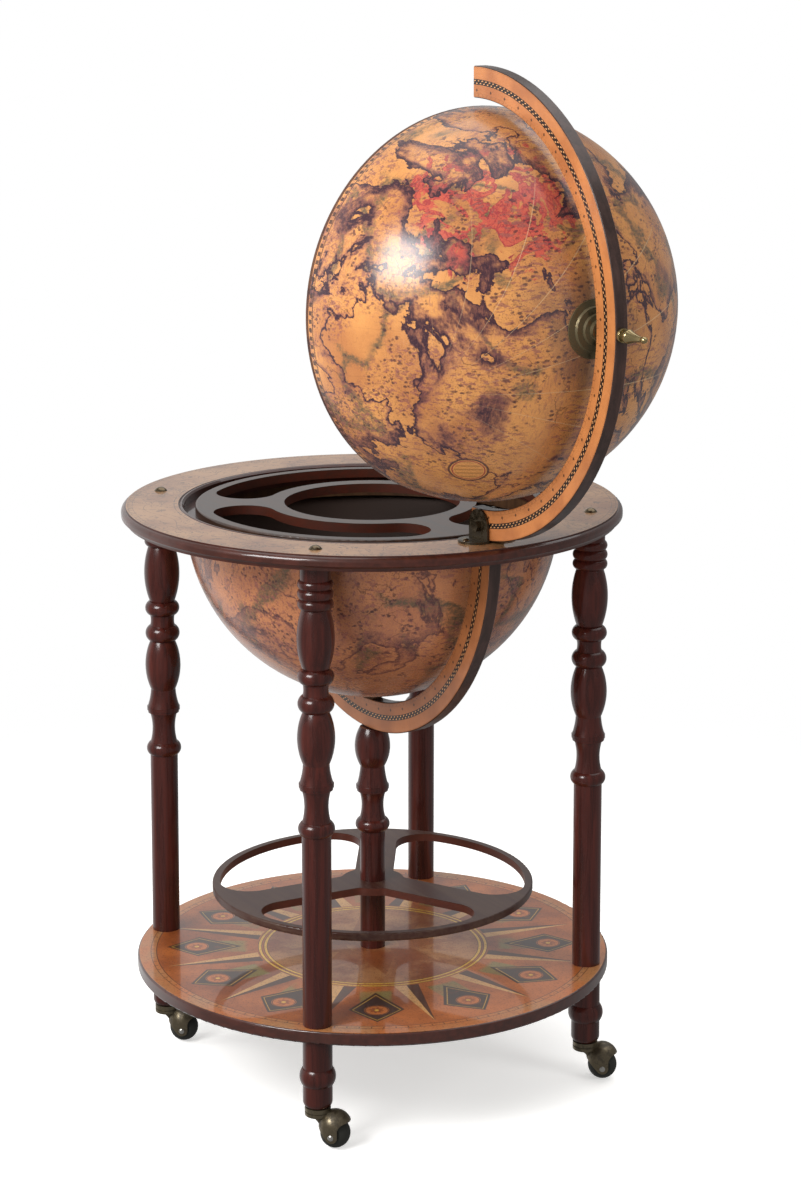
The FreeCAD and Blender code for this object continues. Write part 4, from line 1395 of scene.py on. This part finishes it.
@dataclass(frozen=True)
class Metal(Finish):
    """A metal with a patina in its hollows and rubbed places."""

    name: str
    bright: Colour
    dull: Colour
    patina: Patina
    roughness: float
    cloud: Cloud = Cloud(120.0, 5.0, 0.62)
    fine: Patches = Patches(1440.0, low=0.55, high=0.8, weight=0.3)
    metallic: float = 0.9
    metallic_loss: float = 0.5
    aged_roughness: float = 0.18
    fine_roughness: float = 0.06
    dent: float = 0.04 * MM
    dent_share: float = 0.3

    def paint(self, graph: Graph) -> None:
        """Build the finish's nodes.

        Args:
            graph: The material's graph.
        """
        fine = graph.noise(graph.place, self.fine)
        aged = graph.noise(graph.place, self.cloud).rise(*self.patina.value)
        colour = graph.over(aged, self.bright, self.dull)
        colour = graph.over(self.fine.cut(fine), colour, self.dull)
        graph.set(Base_Color=colour, Metallic=self.metallic - aged * self.metallic_loss)
        swing = aged * self.aged_roughness + fine * self.fine_roughness
        graph.set(Roughness=swing + (self.roughness - self.fine_roughness))
        graph.relief(fine, self.dent, self.dent_share)


@dataclass(frozen=True)
class WheelPlastic(Finish):
    """Black moulded plastic, scuffed and dusty."""

    name: str
    black: Colour
    dust: Colour
    scuffs: Patches = Patches(160.0, 5.0, 0.65, low=0.5, high=0.8, weight=0.5)
    fine: Cloud = Cloud(1500.0)
    roughness: float = 0.28
    scuff_roughness: float = 0.25
    dent: float = 0.05 * MM
    dent_share: float = 0.35

    def paint(self, graph: Graph) -> None:
        """Build the finish's nodes.

        Args:
            graph: The material's graph.
        """
        cloud = graph.noise(graph.place, self.scuffs)
        colour = graph.over(self.scuffs.cut(cloud), self.black, self.dust)
        graph.set(Base_Color=colour, Roughness=cloud * self.scuff_roughness + self.roughness)
        graph.relief(graph.noise(graph.place, self.fine), self.dent, self.dent_share)


@dataclass(frozen=True)
class PaleFloor(Finish):
    """The studio's pale floor, which thins out into the backdrop away from the object."""

    name: str
    colour: Colour
    solid: float = 0.4
    gone: float = 1.5
    glow: float = 0.55
    roughness: float = 0.6

    def paint(self, graph: Graph) -> None:
        """Build the finish's nodes.

        Args:
            graph: The material's graph.
        """
        seen = Disc(graph, 0.0, self.colour).radius.fall(self.solid, self.gone)
        graph.set(Base_Color=self.colour, Roughness=self.roughness, Alpha=seen)
        graph.set(Emission_Color=self.colour, Emission_Strength=self.glow)


DARK_WOOD = LacqueredWood("dark_mahogany", ink("2e110d"), ink("4c1e17"), 0.26, 0.52)
PLAIN_WOOD = LacqueredWood("plain_wood", ink("3a2618"), ink("523824"), 0.48, 0.0)
BRONZE = Metal("antique_bronze", ink("5a4e3b"), ink("383025"), Patina.RUBBED, 0.28)
BOLT_BRONZE = Metal("bolt_bronze", ink("726450"), ink("483d30"), Patina.BRIGHT, 0.2)
CASTING = Metal("caster_casting", ink("776c58"), ink("484033"), Patina.RUBBED, 0.34)
BOSS_BRONZE = Metal("olive_bronze", ink("6f644a"), ink("5b5039"), Patina.AGED, 0.42)
BRASS = Metal("aged_brass", ink("a8956a"), ink("6f6042"), Patina.BRIGHT, 0.16)
STEEL = Metal("zinc_steel", ink("b9b6b0"), ink("7d7a75"), Patina.BRIGHT, 0.35)
WHEEL = WheelPlastic("wheel_plastic", ink("161412"), ink("4a443c"))


def dress(finish: Finish, *nodes: str) -> None:
    """Give carried-over pieces a finish.

    Args:
        finish: The finish to give.
        nodes: The pieces' names.
    """
    for node in nodes:
        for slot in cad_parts[node].material_slots:
            slot.material = finish.material()
        log.info("%s is dressed in %s", node, finish.name)


def top_of(node: str) -> float:
    """The height of a piece's top."""
    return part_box(node)[1].z


@dataclass
class Stand:
    """Legs, feet, shelf, ring, tray, column and bottle ring."""

    dark: Colour = ink("34160e")
    warm: Colour = ink("471f15")
    tray_deep: Colour = ink("2c1e17")
    tray_warm: Colour = ink("483226")
    tray_edge: float = 197 * MM
    bottle_edge: float = 182 * MM

    def build(self) -> None:
        """Dress every piece of the stand."""
        for leg in LEGS:
            dress(DARK_WOOD, "leg_post_" + leg, "leg_foot_" + leg)
        dress(DARK_WOOD, "centre_column", "column_base")
        self.dress_boards()
        dress(PLAIN_WOOD, "column_dowel", "meridian_dowels", "bowl_hoop", "bowl_floor", "meridian_spacer")
        dress(STEEL, "leg_studs", "caster_sockets", "column_rod", "column_nut", "hoop_screws", "bowl_screw")
        dress(BOLT_BRONZE, "ring_bolts")

    def dress_boards(self) -> None:
        """Dress the ring, the shelf, the tray and the bottle ring."""
        ring = RingPrint("ring_print", self.dark, self.warm, 0.4, 0.75, Grain.LEVEL,
                         top=top_of("table_ring"))
        shelf = ShelfPrint("shelf_print", self.dark, self.warm, 0.3, 0.8, Grain.LEVEL,
                           top=top_of("lower_shelf"))
        tray = TrayStain("tray_stain", self.tray_deep, self.tray_warm, 0.3, 0.3, Grain.LEVEL,
                         top=top_of("serving_tray"), edge=self.tray_edge)
        bottle = TrayStain("bottle_ring_stain", self.dark, self.tray_warm, 0.38, 0.2, Grain.LEVEL,
                           top=top_of("bottle_ring"), edge=self.bottle_edge)
        dress(ring, "table_ring")
        dress(shelf, "lower_shelf")
        dress(tray, "serving_tray")
        dress(bottle, "bottle_ring")


@dataclass
class Globe:
    """The bowl, the lid, both meridians and what turns at the pole."""

    bowl_centre: Place = (0.0, 0.0, 657.5 * MM)
    bowl_radius: float = 213 * MM
    lid_radius: float = 210.5 * MM
    upper_inner: float = 219.5 * MM
    upper_outer: float = 253 * MM
    lower_inner: float = 220.5 * MM
    lower_outer: float = 255.7 * MM
    edge_deep: Colour = ink("2a1a15")
    edge_warm: Colour = ink("46302a")
    edge_roughness: float = 0.34
    edge_coat: float = 0.25
    lid_centre: Place = field(init=False)
    upper_centre: Place = field(init=False)
    lid_rim: float = field(init=False)
    bowl_rim: float = field(init=False)

    def __post_init__(self) -> None:
        """Work out the centres and the rims from the pieces' bounds."""
        lid_low, lid_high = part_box("globe_lid")
        axis = (lid_low.z + lid_high.z) / 2
        self.lid_centre = (lid_high.x - self.lid_radius, 0.0, axis)
        self.lid_rim = lid_low.x - self.lid_centre[0]
        arm_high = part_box("upper_meridian")[1]
        self.upper_centre = (arm_high.x - self.upper_outer, 0.0, axis)
        self.bowl_rim = top_of("globe_bowl") - self.bowl_centre[2]

    def build(self) -> None:
        """Dress every piece of the globe."""
        lid = MapPrint("lid_chart", self.lid_centre, self.lid_radius, Pole.SIDEWAYS, self.lid_rim)
        # The bowl's paper and tan are redder and duller than the lid's as a print, and darker as painted
        # shade under the ring.
        bowl = MapPrint("bowl_chart", self.bowl_centre, self.bowl_radius, Pole.UP, self.bowl_rim,
                        MapInks(paper=ink("bd7c53"), tan=ink("a0664a")), shore_share=0.5)
        edge = (self.edge_deep, self.edge_warm, self.edge_roughness, self.edge_coat)
        upper = MeridianPrint("upper_meridian_print", *edge, centre=self.upper_centre,
                              inner=self.upper_inner, outer=self.upper_outer)
        # The lower meridian takes a darker paper and tint than the upper one: painted shade under the ring
        # and the bowl.
        lower = MeridianPrint("lower_meridian_print_painted_shade", *edge, centre=self.bowl_centre,
                              inner=self.lower_inner, outer=self.lower_outer,
                              paper=ink("a2643a"), shade=ink("87502c"))
        dress(lid, "globe_lid")
        dress(bowl, "globe_bowl")
        dress(upper, "upper_meridian")
        dress(lower, "lower_meridian")
        dress(BOSS_BRONZE, "pole_boss")
        dress(BRASS, "pole_finial")
        dress(STEEL, "pole_pin", "pole_nut")
        dress(PLAIN_WOOD, "pole_block")


@dataclass
class Hinge:
    """The brackets on the ring with their screws, bolt and nut."""

    brackets: tuple[str, ...] = ("hinge_bracket_near", "hinge_bracket_far")
    fasteners: tuple[str, ...] = ("bracket_screws", "hinge_bolt", "hinge_nut")

    def build(self) -> None:
        """Dress every piece of the hinge."""
        dress(BRONZE, *self.brackets)
        dress(BOLT_BRONZE, *self.fasteners)


@dataclass
class Casters:
    """The four hooded casters."""

    legs: tuple[str, ...] = LEGS

    def build(self) -> None:
        """Dress every piece of the casters."""
        for leg in self.legs:
            dress(CASTING, "caster_hood_" + leg)
            dress(STEEL, "caster_stem_" + leg, "caster_axle_" + leg)
            dress(WHEEL, "caster_wheel_" + leg)


@dataclass(frozen=True)
class Softbox:
    """One soft square light that looks at a point."""

    name: str
    place: Place
    aim: Place
    width: float
    height: float
    power: float
    mirrored: bool = False

    def build(self) -> None:
        """Hang the light."""
        data = bpy.data.lights.new(self.name, "AREA")
        data.shape = "RECTANGLE"
        data.size = self.width
        data.size_y = self.height
        data.energy = self.power
        lamp = bpy.data.objects.new(self.name, data)
        lamp.location = self.place
        lamp.rotation_euler = (Vector(self.aim) - Vector(self.place)).to_track_quat("-Z", "Y").to_euler()
        lamp.visible_glossy = self.mirrored
        bpy.context.scene.collection.objects.link(lamp)
        log.info("%s hangs at %s", self.name, self.place)


@dataclass
class Studio:
    """The floor, the light and the camera."""

    floor_half: float = 1.8
    floor_colour: Colour = ink("f4f3f1")
    softboxes: tuple[Softbox, ...] = (
        Softbox("key_light", (0.58, -2.35, 2.15), (0.24, 0.0, 0.9), 1.3, 1.1, 72.0, True),
        Softbox("fill_light", (2.8, 1.2, 1.6), (0.3, 0.0, 0.8), 1.2, 1.6, 32.0),
        Softbox("side_light", (-1.5, -2.3, 1.5), (0.1, 0.0, 0.75), 1.4, 1.8, 34.0),
        Softbox("bounce_light", (1.3, -2.0, 0.15), (0.2, 0.0, 0.9), 1.8, 1.0, 24.0))
    room_light: float = 0.27
    back_light: float = 0.75
    back_turn: float = 40.0
    back_edge: Span = (0.6, 0.85)
    ceiling_light: float = 1.3
    ceiling_spread: float = 70.0
    ceiling_tilt: Span = (-18.0, -10.0)
    camera_turn: float = 58.829
    camera_yaw: float = -0.551
    camera_pitch: float = 9.284
    camera_distance: float = 3.368895
    camera_height: float = 1.38027
    focal_pixels: float = 3019.631
    shift_pixels: float = -240.0
    frame_height: float = 1200.0
    sensor: float = 36.0

    def build(self) -> None:
        """Set up the whole studio."""
        self.lay_floor()
        self.light_room()
        for softbox in self.softboxes:
            softbox.build()
        self.light_ceiling()
        self.set_camera()

    def lay_floor(self) -> None:
        """Lay the pale floor under the wheels."""
        shape = bmesh.new()
        bmesh.ops.create_grid(shape, x_segments=1, y_segments=1, size=self.floor_half)
        mesh = bpy.data.meshes.new("floor")
        shape.to_mesh(mesh)
        shape.free()
        mesh.materials.append(PaleFloor("pale_floor", self.floor_colour).material())
        floor = bpy.data.objects.new("floor", mesh)
        bpy.context.scene.collection.objects.link(floor)
        floor.visible_glossy = False
        floor.visible_diffuse = False

    def light_room(self) -> None:
        """Fill the room with even light, brighter on one side, before a white backdrop."""
        world = bpy.data.worlds.new("studio")
        world.use_nodes = True
        nodes, links = world.node_tree.nodes, world.node_tree.links
        room = nodes["Background"]
        backdrop = nodes.new("ShaderNodeBackground")
        for lit in (room, backdrop):
            lit.inputs["Color"].default_value = WHITE
        facing = nodes.new("ShaderNodeVectorMath")
        facing.operation = "DOT_PRODUCT"
        links.new(nodes.new("ShaderNodeTexCoord").outputs["Generated"], facing.inputs[0])
        turn = math.radians(self.camera_turn + self.back_turn)
        facing.inputs[1].default_value = (-math.sin(turn), math.cos(turn), 0.0)
        brighter = nodes.new("ShaderNodeMapRange")
        brighter.interpolation_type = "SMOOTHSTEP"
        for socket, value in zip(brighter.inputs[1:5], (*self.back_edge, self.room_light, self.back_light)):
            socket.default_value = value
        links.new(facing.outputs["Value"], brighter.inputs[0])
        links.new(brighter.outputs[0], room.inputs["Strength"])
        either = nodes.new("ShaderNodeMixShader")
        links.new(nodes.new("ShaderNodeLightPath").outputs["Is Camera Ray"], either.inputs[0])
        links.new(room.outputs[0], either.inputs[1])
        links.new(backdrop.outputs[0], either.inputs[2])
        links.new(either.outputs[0], nodes["World Output"].inputs["Surface"])
        bpy.context.scene.world = world
        bpy.context.scene.view_settings.view_transform = "Standard"

    def light_ceiling(self) -> None:
        """Light the object softly from above."""
        data = bpy.data.lights.new("ceiling", "SUN")
        data.energy = self.ceiling_light
        data.angle = math.radians(self.ceiling_spread)
        lamp = bpy.data.objects.new("ceiling", data)
        lamp.rotation_euler = (*map(math.radians, self.ceiling_tilt), 0.0)
        bpy.context.scene.collection.objects.link(lamp)

    def set_camera(self) -> None:
        """Stand the camera where the photograph was taken from."""
        turn = math.radians(self.camera_turn)
        aim = turn + math.radians(self.camera_yaw)
        pitch = math.radians(self.camera_pitch)
        data = bpy.data.cameras.new("camera")
        data.sensor_width = self.sensor
        data.lens = self.focal_pixels / self.frame_height * self.sensor
        data.shift_y = self.shift_pixels / self.frame_height
        camera = bpy.data.objects.new("camera", data)
        across = math.sin(turn) * self.camera_distance
        along = -math.cos(turn) * self.camera_distance
        camera.location = (across, along, self.camera_height)
        camera.rotation_euler = (math.pi / 2 - pitch, 0.0, aim)
        bpy.context.scene.collection.objects.link(camera)
        bpy.context.scene.camera = camera


def main() -> None:
    """Dress the whole object and set up the studio."""
    logging.basicConfig(level=logging.INFO, format="%(message)s")
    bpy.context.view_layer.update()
    for assembly in (Stand(), Globe(), Hinge(), Casters(), Studio()):
        assembly.build()
        log.info("%s done", type(assembly).__name__)


if __name__ == "__main__":
    main()
